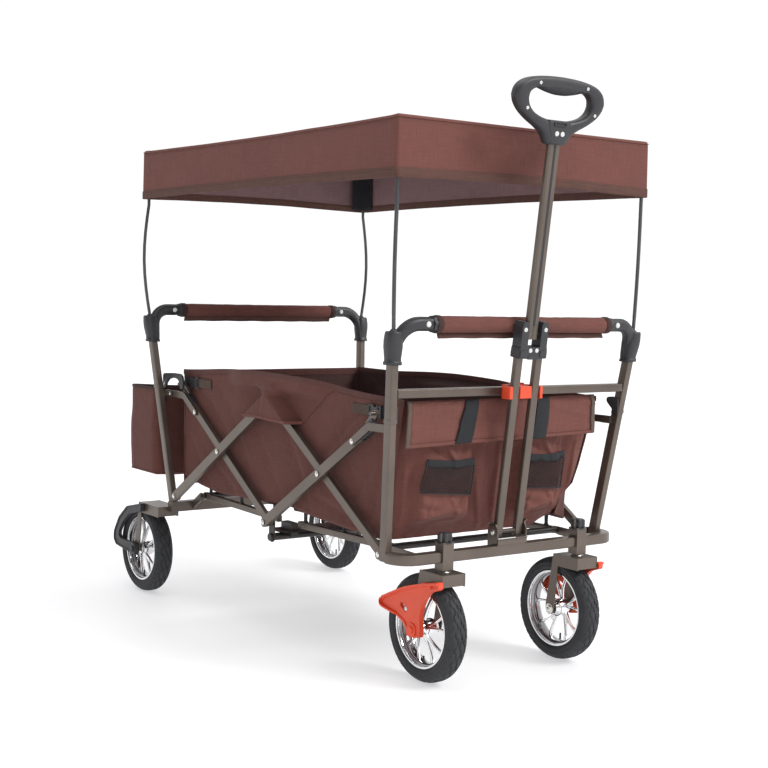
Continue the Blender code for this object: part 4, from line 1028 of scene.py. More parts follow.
def rim_shift(k, depth):
    """How far the valance stands outward at outline point k; depth is 0 at its top and 1 at its hem."""
    x, y, nx, ny, number, q = RIM[k % len(RIM)]
    long = (2 * HY if number in (0, 2) else 2 * HX)
    near = min(q, 1 - q) * long
    pull = 0.0052 if number in (0, 2) else 0.0030
    shift = -pull * math.sin(PI * q) ** 1.2 * (1 - 0.25 * depth)
    ripple = 0.0017 * math.exp(-near / 0.050) * math.sin(near * 2 * PI / 0.017 + 1.0) * (0.35 + 0.65 * depth) * fade(near, 0.0, 0.008)
    slow = 0.0016 * ruffle(x * 7 + 3, y * 7, depth * 1.2) * fade(near, 0.0, 0.05) * (0.3 + 0.7 * depth)
    lean = 0.0012 * depth
    return shift + ripple + slow + lean


def rim_low(k):
    x, y, nx, ny, number, q = RIM[k % len(RIM)]
    bow = 0.0045 if number in (1, 3) else 0.0035
    return LOW + bow * math.sin(PI * q) ** 1.1 + 0.0006 * ruffle(x * 9, y * 9, 5.0)


def roof_z(x, y):
    q = min(1.0, abs(y) / 0.4762)
    sag = 0.0030 * (1 - q * q) + 0.0012 * (1 - (x / HX) ** 2) * (1 - q * q)
    ridge = 0.0010 * math.exp(-((abs(y) - 0.4762) / 0.010) ** 2)
    return TOP - 0.0012 - sag + ridge + 0.0007 * ruffle(x * 8, y * 8, 2.0) * (1 - q * q)


def valance_point(k, depth, out=0.0):
    x, y, nx, ny, number, q = RIM[k % len(RIM)]
    top = roof_z(x, y) + 0.0
    z = top + (rim_low(k) - top) * depth
    d = rim_shift(k, depth) + out
    return (x + nx * d, y + ny * d, z)


def canopy():
    m = len(RIM)
    rows, kinds = [], []
    for s in (0.03, 0.10, 0.18, 0.26, 0.34, 0.42, 0.50, 0.58, 0.66, 0.73, 0.79, 0.84, 0.88, 0.915, 0.945):
        rows.append([(p[0] * s, p[1] * s, roof_z(p[0] * s, p[1] * s)) for p in RIM])
    for inset, down in ((0.0050, 0.0), (0.0040, 0.0002), (0.0029, 0.0006), (0.0018, 0.0013), (0.0007, 0.0030)):
        row = []
        for k, p in enumerate(RIM):
            d = rim_shift(k, 0.0) * (1 - inset / 0.014) - inset
            x, y = p[0] + p[2] * d, p[1] + p[3] * d
            row.append((x, y, roof_z(x, y) - down))
        rows.append(row)
    roof_rows = len(rows)
    for j in range(1, 19):
        depth = 0.05 + 0.95 * j / 18
        rows.append([valance_point(k, depth) for k in range(m)])
    verts = [V(*p) for row in rows for p in row]
    faces, uvs = [tuple(range(m))], [(rows[0][k][0], rows[0][k][1]) for k in range(m)]
    for j in range(len(rows) - 1):
        for k in range(m):
            l = (k + 1) % m
            faces.append((j * m + l, j * m + k, (j + 1) * m + k, (j + 1) * m + l))
            if j < roof_rows - 1:
                uvs += [(rows[jj][kk][0], rows[jj][kk][1]) for jj, kk in ((j, l), (j, k), (j + 1, k), (j + 1, l))]
            else:
                uvs += [(RIM_LENGTH[kk], rows[jj][kk % m][2]) for jj, kk in ((j, k + 1), (j, k), (j + 1, k), (j + 1, k + 1))]
    obj = cloth_mesh("canopy_sheet", verts, faces, uvs, [SHELL, ROOF_LINING], 0.0011, "rear_frame", replaces=("canopy_rear", "canopy_front"))
    # Folded hem round the valance, and the piping where roof and valance meet.
    hem_rows = []
    for depth_z, out in ((0.0168, 0.0001), (0.0164, 0.0011), (0.0085, 0.0013), (0.0006, 0.0011), (-0.0006, 0.0003), (-0.0006, -0.0014), (0.0150, -0.0018)):
        row = []
        for k in range(m):
            top, low = roof_z(RIM[k][0], RIM[k][1]), rim_low(k)
            depth = (top - (low + depth_z)) / (top - low)
            row.append(valance_point(k, depth, out))
        hem_rows.append(row)
    hem = []
    hem_uv = []
    verts = [V(*p) for row in hem_rows for p in row]
    for j in range(len(hem_rows) - 1):
        for k in range(m):
            l = (k + 1) % m
            hem.append((j * m + l, j * m + k, (j + 1) * m + k, (j + 1) * m + l))
            hem_uv += [(RIM_LENGTH[k + 1], j * 0.004), (RIM_LENGTH[k], j * 0.004), (RIM_LENGTH[k], j * 0.004 + 0.004), (RIM_LENGTH[k + 1], j * 0.004 + 0.004)]
    hem_obj = cloth_mesh("canopy_hem", verts, hem, hem_uv, [HEM], 0.0, "rear_frame")
    pipe_rings = []
    for k in range(m):
        c = Vector(valance_point(k, 0.045, 0.0004))
        nrm = Vector((RIM[k][2], RIM[k][3], 0))
        pipe_rings.append([c + nrm * (0.0011 * math.cos(t)) + Vector((0, 0, 0.0011 * math.sin(t))) for t in (2 * PI * i / 8 for i in range(8))])
    pipe = make("canopy_piping", [loft(pipe_rings, closed=True)], SHELL_3D, "rear_frame")
    runs = []
    for height in (0.0138,):
        run = []
        for k in range(m + 1):
            top, low = roof_z(RIM[k % m][0], RIM[k % m][1]), rim_low(k)
            depth = (top - (low + height)) / (top - low)
            run.append((valance_point(k, depth, 0.0014), (RIM[k % m][2], RIM[k % m][3], 0)))
        runs.append(run)
    run = []
    for k in range(m + 1):
        run.append((valance_point(k, 0.095, 0.0001), (RIM[k % m][2], RIM[k % m][3], 0)))
    runs.append(run)
    sewn = stitches("canopy_stitches", runs, "rear_frame")
    for piece in (obj, hem_obj, pipe, sewn):
        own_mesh(piece)
    return obj


canopy()

# Dark pockets inside the corners, which hold the rods.
for end, s, owner in (("rear", 1, "rear_frame"), ("front", -1, "front_frame")):
    for side, k in SIDES:
        path = smooth_path([(k * 0.2640, s * 0.4788, 0), (k * 0.2770, s * 0.4742, 0), (k * 0.2872, s * 0.4690, 0), (k * 0.2912, s * 0.4640, 0),
                            (k * 0.2946, s * 0.4560, 0), (k * 0.2972, s * 0.4440, 0)], 5)
        def pocket(u, v, path=path):
            t = u * (len(path) - 1)
            i = min(int(t), len(path) - 2)
            p = path[i].lerp(path[i + 1], t - i)
            return (p.x, p.y, 0.9085 + (0.0830 * v))
        patch = grid(f"canopy_pocket_{end}_{side}", pocket, 24, 10, [STRAP], 0.0009, owner, offset=0.0)

# ================================================================ tub: side walls
REAR_Y, FRONT_TOP_Y, FRONT_LOW_Y = 0.3990, -0.4300, -0.3870
BOTTOM = [(-0.39, 0.2580), (-0.3268, 0.2599), (-0.2236, 0.2640), (-0.0913, 0.2720), (-0.061, 0.2780), (0.02, 0.2755), (0.1176, 0.2698), (0.2474, 0.2640), (0.3446, 0.2760), (0.3782, 0.2860)]
TOPLINES = {-1: [(-0.44, 0.5160), (-0.361, 0.5185), (-0.297, 0.5210), (-0.231, 0.5255), (-0.18, 0.5325), (-0.12, 0.5375), (0.045, 0.5405), (0.15, 0.5370), (0.24, 0.5320), (0.32, 0.5260), (0.40, 0.5215)],
            1: [(-0.44, 0.5125), (-0.367, 0.5145), (-0.20, 0.5185), (-0.0892, 0.5235), (0.0331, 0.5270), (0.15, 0.5245), (0.25, 0.5205), (0.40, 0.5215)]}


def along(table, y):
    for (y0, z0), (y1, z1) in zip(table, table[1:]):
        if y <= y1:
            t = max(0.0, (y - y0) / (y1 - y0))
            return z0 + (z1 - z0) * t
    return table[-1][1]


def soft_along(table, y):
    return sum(along(table, y + d) for d in (-0.03, -0.015, 0.0, 0.015, 0.03)) / 5


def fold_at(y, z, lines):
    """Depth of a list of creases at y, z: each runs from one point to another, sharper on one side."""
    total = 0.0
    for (y0, z0, y1, z1), amp, width in lines:
        dy, dz = y1 - y0, z1 - z0
        t = max(0.0, min(1.0, ((y - y0) * dy + (z - z0) * dz) / (dy * dy + dz * dz)))
        off = ((y - y0) * dz - (z - z0) * dy) / math.hypot(dy, dz)
        d = math.hypot(y - y0 - dy * t, z - z0 - dz * t)
        w = width * (0.55 if off > 0 else 1.5)
        total += amp * math.exp(-(d / w) ** 2) * (0.55 + 0.45 * math.sin(PI * min(1.0, max(0.0, t))))
    return total


WALL_FOLDS = (((-0.31, 0.50, -0.17, 0.39), -0.0042, 0.010), ((0.34, 0.50, 0.20, 0.40), -0.0036, 0.012),
              ((0.20, 0.47, 0.10, 0.33), -0.0026, 0.013), ((-0.04, 0.43, -0.13, 0.29), -0.0028, 0.012),
              ((-0.36, 0.42, -0.25, 0.28), -0.0042, 0.011), ((0.36, 0.37, 0.27, 0.27), -0.0034, 0.012),
              ((-0.39, 0.49, -0.34, 0.30), -0.0040, 0.010), ((0.30, 0.36, 0.17, 0.28), -0.0026, 0.010),
              ((0.06, 0.40, -0.02, 0.30), -0.0020, 0.012), ((-0.20, 0.45, -0.28, 0.36), -0.0030, 0.009),
              ((-0.15, 0.31, -0.30, 0.275), -0.0030, 0.009), ((0.14, 0.30, 0.00, 0.285), -0.0024, 0.009))


def wall_x(y, z):
    """Outward distance of the side wall at y, z: just inside the bars, with slack folds inward."""
    base = 0.2390 - 0.0038 * fade(-y, -0.10, 0.35)
    low = 0.0026 * ruffle(y * 11, z * 9, 1.0) - 0.0020 + 0.0010 * ruffle(y * 32, z * 28, 5.0)
    out = 0.0178 * fade(0.215 - abs(y + 0.005), 0.0, 0.11) * fade(z, 0.4965, 0.5140)
    return base + low + fold_at(y, z, WALL_FOLDS) * (1 - fade(z, 0.49, 0.51)) + out


RIGHT_EDGE = [(0.25, 0.1720), (0.268, 0.1740), (0.306, 0.1830), (0.334, 0.2080), (0.431, 0.2220), (0.52, 0.2320), (0.60, 0.2320)]


def tuck(s, y, z):
    """How far the right wall's lower front corner is drawn in."""
    return max(0.0, 0.2320 - along(RIGHT_EDGE, z)) * fade(-y, 0.350, 0.390) if s > 0 else 0.0


def corner_lift(s, y, v):
    """The same corner is rounded up by this much."""
    return 0.0200 * v ** 3 * fade(-y, 0.345, 0.392) if s > 0 else 0.0


def side_wall(side, s):
    topline = TOPLINES[s]

    def f(u, v):
        top_y = REAR_Y + (FRONT_TOP_Y - REAR_Y) * u
        low_y = REAR_Y + (FRONT_LOW_Y - REAR_Y) * u
        y = top_y + (low_y - top_y) * v
        z = soft_along(topline, y) + (soft_along(BOTTOM, y) - soft_along(topline, y)) * v
        return (s * (wall_x(y, z) - tuck(s, y, z)), y, z + corner_lift(s, y, v))
    # Outer face in the darker copy of the canvas: painted shade.
    wall = grid(f"tub_side_wall_{side}", f, 170, 64, [SHELL_SHADED, LINING], 0.0014, "rear_frame", replaces=("tub_rear", "tub_front"), flip=s < 0)
    # Rolled top edge: a soft doubled strip over the wall's edge.
    def top(u, v):
        y = REAR_Y + (FRONT_TOP_Y - REAR_Y) * u
        z = soft_along(topline, y)
        if v < 0.3:
            low = z - 0.0085 * (1 - v / 0.3)
            return (s * (wall_x(y, low) + 0.0014), y, low)
        if v > 0.7:
            low = z - 0.0085 * ((v - 0.7) / 0.3)
            return (s * (wall_x(y, low) - 0.0030), y, low)
        q = (v - 0.3) / 0.4 * PI
        return (s * (wall_x(y, z) - 0.0008 + 0.0022 * math.cos(q)), y, z + 0.0022 * math.sin(q))
    hem = grid(f"tub_top_hem_{side}", top, 120, 16, [TOP_HEM], 0.0, "rear_frame", flip=s < 0)
    run = []
    for i in range(101):
        y = REAR_Y + (FRONT_TOP_Y - REAR_Y) * i / 100
        z = soft_along(topline, y) - 0.0105
        run.append(((s * (wall_x(y, z) + 0.0003), y, z), (s, 0, 0)))
    run2 = []
    for i in range(101):
        y = REAR_Y + (FRONT_LOW_Y - REAR_Y) * i / 100
        z = soft_along(BOTTOM, y) + 0.008
        run2.append(((s * (wall_x(y, z) - tuck(s, y, z) + 0.0003), y, z + corner_lift(s, y, 0.97)), (s, 0, 0)))
    sewn = stitches(f"tub_side_stitches_{side}", [run, run2], "rear_frame")
    for piece in (wall, hem, sewn):
        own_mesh(piece)


for side, s in SIDES:
    side_wall(side, s)


# ---------------------------------------------------------------- flaps that cover the top hubs, outside the bars
def hub_flap(side, s):
    topline = TOPLINES[s]
    ridges = (((-0.014, 0.522, -0.084, 0.450), 0.0042, 0.0055), ((-0.040, 0.526, -0.106, 0.462), -0.0038, 0.0060),
              ((0.030, 0.520, 0.076, 0.455), 0.0022, 0.0070), ((0.004, 0.505, 0.018, 0.450), -0.0014, 0.0080))

    def f(u, v):
        y_rear, y_front = 0.205 - 0.103 * v, -0.220 + 0.121 * v
        y = y_rear + (y_front - y_rear) * u
        top = soft_along(topline, y) - 0.0006
        low = 0.4468 + 0.0012 * math.sin((y + 0.02) * 30)
        z = top + (low - top) * v
        cover = max(0.004, 0.0810 - 1.6 * (z - 0.447))
        full = 1 - fade(abs(y) - cover, 0.0, 0.0165 + 0.70 * max(0.0, z - 0.452))
        wall = wall_x(y, z) + 0.0013
        x = wall + (0.2686 - wall) * full * fade(0.5320 - z, 0.0, 0.034)
        x += (fold_at(y, z, ridges) + 0.0012 * ruffle(y * 24, z * 24, 6.0)) * full * fade(0.528 - z, 0.0, 0.02)
        return (s * x, y, z)

    # The flap takes the darker copy of the canvas (painted shade); its hem keeps the plain canvas.
    flap = grid(f"tub_hub_flap_{side}", f, 120, 44, [SHELL_SHADED, LINING], 0.0012, None, flip=s < 0)

    def hem_f(u, v):
        x, y, z = f(u, 1.0)
        out = 0.0010 if v < 0.45 else (-0.0022 if v > 0.55 else -0.0005)
        return (x + s * out, y, z + (0.0060 * (1 - 2 * v) if v < 0.5 else 0.0060 * (2 * v - 1)) - 0.0008)
    hem = grid(f"tub_hub_flap_hem_{side}", hem_f, 96, 10, [SHELL], 0.0, None, flip=s < 0)
    for piece in (flap, hem):
        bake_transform(piece)


for side, s in SIDES:
    hub_flap(side, s)


# ---------------------------------------------------------------- buckled tabs at the tub's upper corners
def buckle_shapes(s, y, z, x, toward):
    """Side-release buckle lying in a plane of constant X; toward is +1 where the prongs point to +Y."""
    t = toward
    body_outline = [(y - t * 0.0130, z - 0.0125), (y + t * 0.0020, z - 0.0125), (y + t * 0.0040, z - 0.0085), (y + t * 0.0100, z - 0.0085),
                    (y + t * 0.0140, z - 0.0120), (y + t * 0.0160, z - 0.0120), (y + t * 0.0160, z + 0.0120), (y + t * 0.0140, z + 0.0120),
                    (y + t * 0.0100, z + 0.0085), (y + t * 0.0040, z + 0.0085), (y + t * 0.0020, z + 0.0125), (y - t * 0.0130, z + 0.0125)]
    hole = [(y - t * 0.0105, z - 0.0090), (y - t * 0.0060, z - 0.0090), (y - t * 0.0060, z + 0.0090), (y - t * 0.0105, z + 0.0090)]
    plate = plate_x(body_outline, [hole], s * x, s * (x + 0.0052))
    prongs = [box(min(s * (x + 0.0010), s * (x + 0.0042)), max(s * (x + 0.0010), s * (x + 0.0042)), min(y + t * 0.0150, y + t * 0.0235), max(y + t * 0.0150, y + t * 0.0235), z + k * 0.0085 - 0.0022, z + k * 0.0085 + 0.0022) for k in (-1, 1)]
    far = box(min(s * x, s * (x + 0.0050)), max(s * x, s * (x + 0.0050)), min(y + t * 0.0205, y + t * 0.0260), max(y + t * 0.0205, y + t * 0.0260), z - 0.0120, z + 0.0120)
    return [plate, *prongs, far]


for side, s in SIDES:
    for end, sgn, owner, zc in (("rear", 1, "rear_frame", 0.497), ("front", -1, "front_frame", 0.4915)):
        yb = sgn * 0.338
        xb = wall_x(yb, 0.5) + 0.0012
        make(f"tub_buckle_{end}_{side}", buckle_shapes(s, yb, zc, xb - 0.0004, sgn), BLACK, owner, bevel=0.0007)
        def tab(u, v, sgn=sgn, zc=zc, s=s, yb=yb):
            y = sgn * (0.268 + 0.064 * u)
            x = wall_x(y, zc) + 0.0010 + 0.0014 * fade(u, 0.6, 1.0)
            return (s * x, y, zc + 0.0006 + (v - 0.5) * 0.0200 + sgn * 0.0)
        strap = grid(f"tub_tab_{end}_{side}", tab, 20, 4, [TAB], 0.0016, owner, flip=(s * sgn) > 0)
        def tail(u, v, sgn=sgn, zc=zc, s=s):
            y = sgn * (0.3600 + 0.030 * u)
            x = wall_x(sgn * 0.36, zc) + 0.0022 + 0.0020 * u
            return (s * x, y, zc + (v - 0.5) * 0.0200)
        strap = grid(f"tub_tail_{end}_{side}", tail, 12, 4, [STRAP], 0.0016, owner, flip=(s * sgn) > 0)


# ================================================================ tub: end panels
def front_y(z):
    """Outer face of the front panel, leaning out towards its top."""
    return -0.3960 - (z - 0.262) * 0.1560


BELLOWS = ((-0.140, 0.066), (0.094, 0.054))
PANEL_FOLDS = []
for bx, half in BELLOWS:
    PANEL_FOLDS += [((bx - 0.050, 0.300, bx + 0.020, 0.318), 0.0070, 0.0055), ((bx - 0.020, 0.296, bx + 0.045, 0.300), -0.0060, 0.0050),
                    ((bx - 0.055, 0.322, bx - 0.010, 0.312), -0.0055, 0.0055), ((bx + 0.010, 0.336, bx + 0.030, 0.302), 0.0060, 0.0050),
                    ((bx + 0.040, 0.340, bx + 0.022, 0.310), -0.0050, 0.0050), ((bx - 0.035, 0.435, bx - 0.005, 0.412), -0.0060, 0.0060),
                    ((bx - 0.005, 0.440, bx + 0.012, 0.408), 0.0055, 0.0055), ((bx + 0.040, 0.438, bx + 0.030, 0.410), -0.0050, 0.0060),
                    ((bx - 0.060, 0.420, bx - 0.075, 0.330), -0.0060, 0.0070), ((bx + 0.066, 0.430, bx + 0.078, 0.310), -0.0060, 0.0080),
                    ((bx - 0.052, 0.285, bx + 0.030, 0.284), 0.0050, 0.0050), ((bx - 0.030, 0.330, bx - 0.040, 0.304), 0.0040, 0.0045)]
PANEL_FOLDS += [((-0.224, 0.44, -0.214, 0.28), 0.0070, 0.0060), ((-0.205, 0.33, -0.222, 0.27), -0.0050, 0.0060),
                ((-0.030, 0.43, -0.020, 0.28), -0.0090, 0.0120), ((-0.006, 0.43, -0.002, 0.29), 0.0070, 0.0060), ((0.018, 0.43, 0.014, 0.27), -0.0060, 0.0070),
                ((-0.052, 0.36, -0.035, 0.27), 0.0050, 0.0060), ((0.190, 0.42, 0.186, 0.29), 0.0060, 0.0060), ((0.206, 0.40, 0.200, 0.28), -0.0060, 0.0060)]


def front_wave(x, z):
    """Slack in the front panel: two soft bellows under the pockets and crumpled folds."""
    out = 0.0
    for bx, half in BELLOWS:
        across = 1 - fade(abs(x - bx) + 0.004 * ruffle(x * 20, z * 20, 2.0), half * 0.72, half * 1.20)
        tall = fade(z, 0.282, 0.306) * (1 - 0.55 * fade(z, 0.385, 0.445))
        out += across * (0.0285 * tall + 0.0040 * math.exp(-((z - 0.318) / 0.020) ** 2))
        out += across * 0.0016 * ruffle(x * 55, z * 60, 3.0)
    calm = fade(0.475 - z, 0.0, 0.04)
    out += fold_at(x, z, PANEL_FOLDS) * calm
    out += (0.0034 * ruffle(x * 15, z * 12, 11.0) + 0.0014 * ruffle(x * 38, z * 34, 13.0)) * calm
    return max(-0.006, min(0.036, out))


def front_panel():
    def f(u, v):
        z = 0.5160 + (0.2610 - 0.5160) * v
        left, right = -0.2325 + 0.004 * v, sum(along(RIGHT_EDGE, z + d) for d in (-0.02, -0.01, 0.0, 0.01, 0.02)) / 5
        x = left + (right - left) * u
        edge = fade(min(u, 1 - u), 0.0, 0.07)
        curl = 0.010 * (1 - fade(min(u, 1 - u), 0.0, 0.035))
        tuck = 0.010 * (1 - fade(z, 0.261, 0.284))
        return (x, front_y(z) - front_wave(x, z) * edge + curl + tuck, z + 0.0200 * v ** 3 * fade(u, 0.80, 0.99))
    panel = grid("tub_front_panel", f, 190, 110, [SHELL, LINING], 0.0014, "front_frame", flip=True)
    return f


FRONT = front_panel()


def on_front(x, z, out=0.0):
    """Point on the front panel's outer face."""
    v = (0.5160 - z) / 0.2550
    ends = FRONT(0.0, v)[0], FRONT(1.0, v)[0]
    p = FRONT((x - ends[0]) / (ends[1] - ends[0]), v)
    return (x, p[1] - out, z)


def quad(corners, u, v):
    (tl, tr, br, bl) = corners
    x = (tl[0] * (1 - u) + tr[0] * u) * (1 - v) + (bl[0] * (1 - u) + br[0] * u) * v
    z = (tl[1] * (1 - u) + tr[1] * u) * (1 - v) + (bl[1] * (1 - u) + br[1] * u) * v
    return x, z


BAND = ((-0.2400, 0.5180), (0.2080, 0.5200), (0.2060, 0.4460), (-0.2480, 0.4360))
BAND_FOLDS = (((-0.20, 0.50, -0.10, 0.470), -0.0022, 0.010), ((-0.06, 0.49, 0.02, 0.455), -0.0022, 0.011), ((0.10, 0.50, 0.19, 0.480), 0.0026, 0.007),
              ((0.11, 0.46, 0.20, 0.470), -0.0024, 0.009), ((-0.23, 0.46, -0.15, 0.450), 0.0018, 0.008), ((0.16, 0.515, 0.205, 0.500), 0.0030, 0.006))


def band_y(x, z):
    """The flap band in front of the panel's top, which hangs from the crossbar."""
    flat = -0.4520 + 0.0040 * math.exp(-((z - 0.519) / 0.010) ** 2) - 0.0012 * math.sin(x * 17 + 1) - 0.0020 * fade(0.50 - z, 0, 0.05)
    return flat + 0.0014 * ruffle(x * 14, z * 20, 8.0) - fold_at(x, z, BAND_FOLDS)


def band(u, v):
    x, z = quad(BAND, u, v)
    return (x, band_y(x, z), z)


band_obj = grid("front_band", band, 110, 22, [SHELL, LINING], 0.0016, "front_frame", flip=True)
for side, u0, u1 in (("left", -0.004, 0.016), ("right", 0.984, 1.004)):
    def strip(u, v, u0=u0, u1=u1):
        x, y, z = band(u0 + (u1 - u0) * u, v)
        return (x, y - 0.0012, z)
    strip_obj = grid(f"front_band_binding_{side}", strip, 4, 24, [BINDING], 0.0030, "front_frame", offset=0.0)


def low_hem(u, v):
    x, y, z = band(u, 0.93 + 0.08 * v)
    return (x, y - 0.0010, z)


grid("front_band_hem", low_hem, 110, 3, [SHELL], 0.0026, "front_frame", offset=0.0)
runs = []
for row in (0.935, 0.06):
    runs.append([((band(i / 80, row)[0], band(i / 80, row)[1] - 0.0018 * (1 if row > 0.5 else 0.2), band(i / 80, row)[2]), (0, -1, 0)) for i in range(2, 79)])
for col in (0.022, 0.978):
    runs.append([((band(col, i / 30)[0], band(col, i / 30)[1] - 0.0006, band(col, i / 30)[2]), (0, -1, 0)) for i in range(1, 30)])
stitches("front_band_stitches", runs, "front_frame")

# Two dark straps over the band.
STRAPS = {"left": ((-0.1105, 0.5180), (-0.0810, 0.5190), (-0.1000, 0.4400), (-0.1380, 0.4385)),
          "right": ((0.0600, 0.5180), (0.0900, 0.5190), (0.0790, 0.4415), (0.0430, 0.4400))}
for side, corners in STRAPS.items():
    def strap(u, v, corners=corners):
        x, z = quad(corners, u, v)
        bulge = 0.0024 + 0.0015 * math.sin(PI * v) + 0.0012 * math.cos((u - 0.5) * PI)
        return (x, band_y(x, z) - bulge, z)
    o = grid(f"front_strap_{side}", strap, 12, 30, [STRAP], 0.0018, "front_frame", offset=0.0)


# ---------------------------------------------------------------- net pockets on the front panel
POCKETS = {"left": ((-0.1930, 0.4100), (-0.0830, 0.4070), (-0.0870, 0.3420), (-0.1990, 0.3520)),
           "right": ((0.0460, 0.4080), (0.1420, 0.4100), (0.1450, 0.3400), (0.0450, 0.3460))}


def pocket_point(corners, u, v, lift=0.0):
    x, z = quad(corners, u, v)
    near = min(front_y(z) - front_wave(x + dx, z + dz) for dx in (-0.004, 0.0, 0.004) for dz in (-0.004, 0.0, 0.004))
    bag = 0.0030 * math.sin(PI * u) ** 0.7 * (0.35 + 0.65 * math.sin(PI * min(1.0, 0.25 + v * 0.75)))
    droop = -0.0035 * math.sin(PI * u) * (1 - v) ** 2
    return (x, near - 0.0020 - bag - lift, z + droop)


def net(name, corners, body, cell=0.0048, width=0.00125):
    """Knotted net: two families of slanting threads that follow the pocket's bulge."""
    wide = (Vector(corners[1]) - Vector(corners[0])).length
    high = (Vector(corners[0]) - Vector(corners[3])).length
    verts, faces = [], []
    for slope in (1, -1):
        count = int((wide + high) / cell) + 1
        for i in range(count):
            c = i * cell
            start, pts = None, []
            steps = 26
            for k in range(steps + 1):
                v = k / steps
                x = (c - v * high) if slope > 0 else (c - high + v * high)
                if 0 <= x <= wide:
                    pts.append(Vector(pocket_point(corners, x / wide, v, 0.0002 * slope)))
            for p, q in zip(pts, pts[1:]):
                d = (q - p).normalized()
                s = d.cross(Vector((0, -1, 0))).normalized() * width / 2
                n = Vector((0, -width * 0.6, 0))
                base = len(verts)
                verts += [tuple(p - s), tuple(p + n), tuple(p + s), tuple(q - s), tuple(q + n), tuple(q + s)]
                faces += [(base, base + 1, base + 4, base + 3), (base + 1, base + 2, base + 5, base + 4), (base + 2, base, base + 3, base + 5)]
    return make(name, [(verts, faces)], NET, body, sharp=80)


for side, corners in POCKETS.items():
    net(f"pocket_net_{side}", corners, "front_frame")
    def top_band(u, v, corners=corners):
        x, y, z = pocket_point(corners, u, 0.0)
        return (x, y - 0.0006, z + 0.0035 - 0.0135 * v)
    binding = grid(f"pocket_binding_{side}", top_band, 40, 5, [STRAP], 0.0030, "front_frame", offset=0.0)
    rim_path = [pocket_point(corners, 0.0, v, 0.0004) for v in np.linspace(0, 1, 12)] + \
               [pocket_point(corners, u, 1.0, 0.0004) for u in np.linspace(0.05, 0.95, 18)] + \
               [pocket_point(corners, 1.0, v, 0.0004) for v in np.linspace(1, 0, 12)]
    make(f"pocket_edge_{side}", [sweep(rim_path, rounded_section(0.0030, 0.0022, 0.0008, 2), side_hint=(0, 1, 0))], NET, "front_frame")


# ---------------------------------------------------------------- rear panel of the tub
def rear_panel(u, v):
    z = 0.5190 + (0.2640 - 0.5190) * v
    x = -0.2385 + 0.4770 * u
    edge = fade(min(u, 1 - u), 0.0, 0.08)
    slack = 0.0045 * ruffle(x * 9, z * 8, 21.0) * edge + 0.0035 * math.exp(-((z - 0.32) / 0.05) ** 2) * edge
    curl = -0.0060 * (1 - fade(min(u, 1 - u), 0.0, 0.02))
    return (x, REAR_Y + 0.0006 + slack + curl, z)


# The rear panel's outer face is in the darker copy of the canvas: painted shade.
rear_obj = grid("tub_rear_panel", rear_panel, 100, 48, [SHELL_SHADED, LINING], 0.0014, "rear_frame")


def rear_top(u, v):
    x, y, z = rear_panel(u, 0.0)
    q = v * PI
    if v < 0.3:
        return (x, y + 0.0022, z - 0.013 * (1 - v / 0.3))
    if v > 0.7:
        return (x, y - 0.0022 - 0.0006, z - 0.013 * ((v - 0.7) / 0.3))
    q = (v - 0.3) / 0.4 * PI
    return (x, y + 0.0022 * math.cos(q) - 0.0003, z + 0.0022 * math.sin(q))


rear_hem = grid("tub_rear_hem", rear_top, 80, 16, [TOP_HEM], 0.0, "rear_frame", flip=True)
rear_sewn = stitches("tub_rear_stitches", [[((rear_panel(i / 80, 0.05)[0], rear_panel(i / 80, 0.05)[1] + 0.0024, rear_panel(i / 80, 0.05)[2]), (0, 1, 0)) for i in range(81)]], "rear_frame")

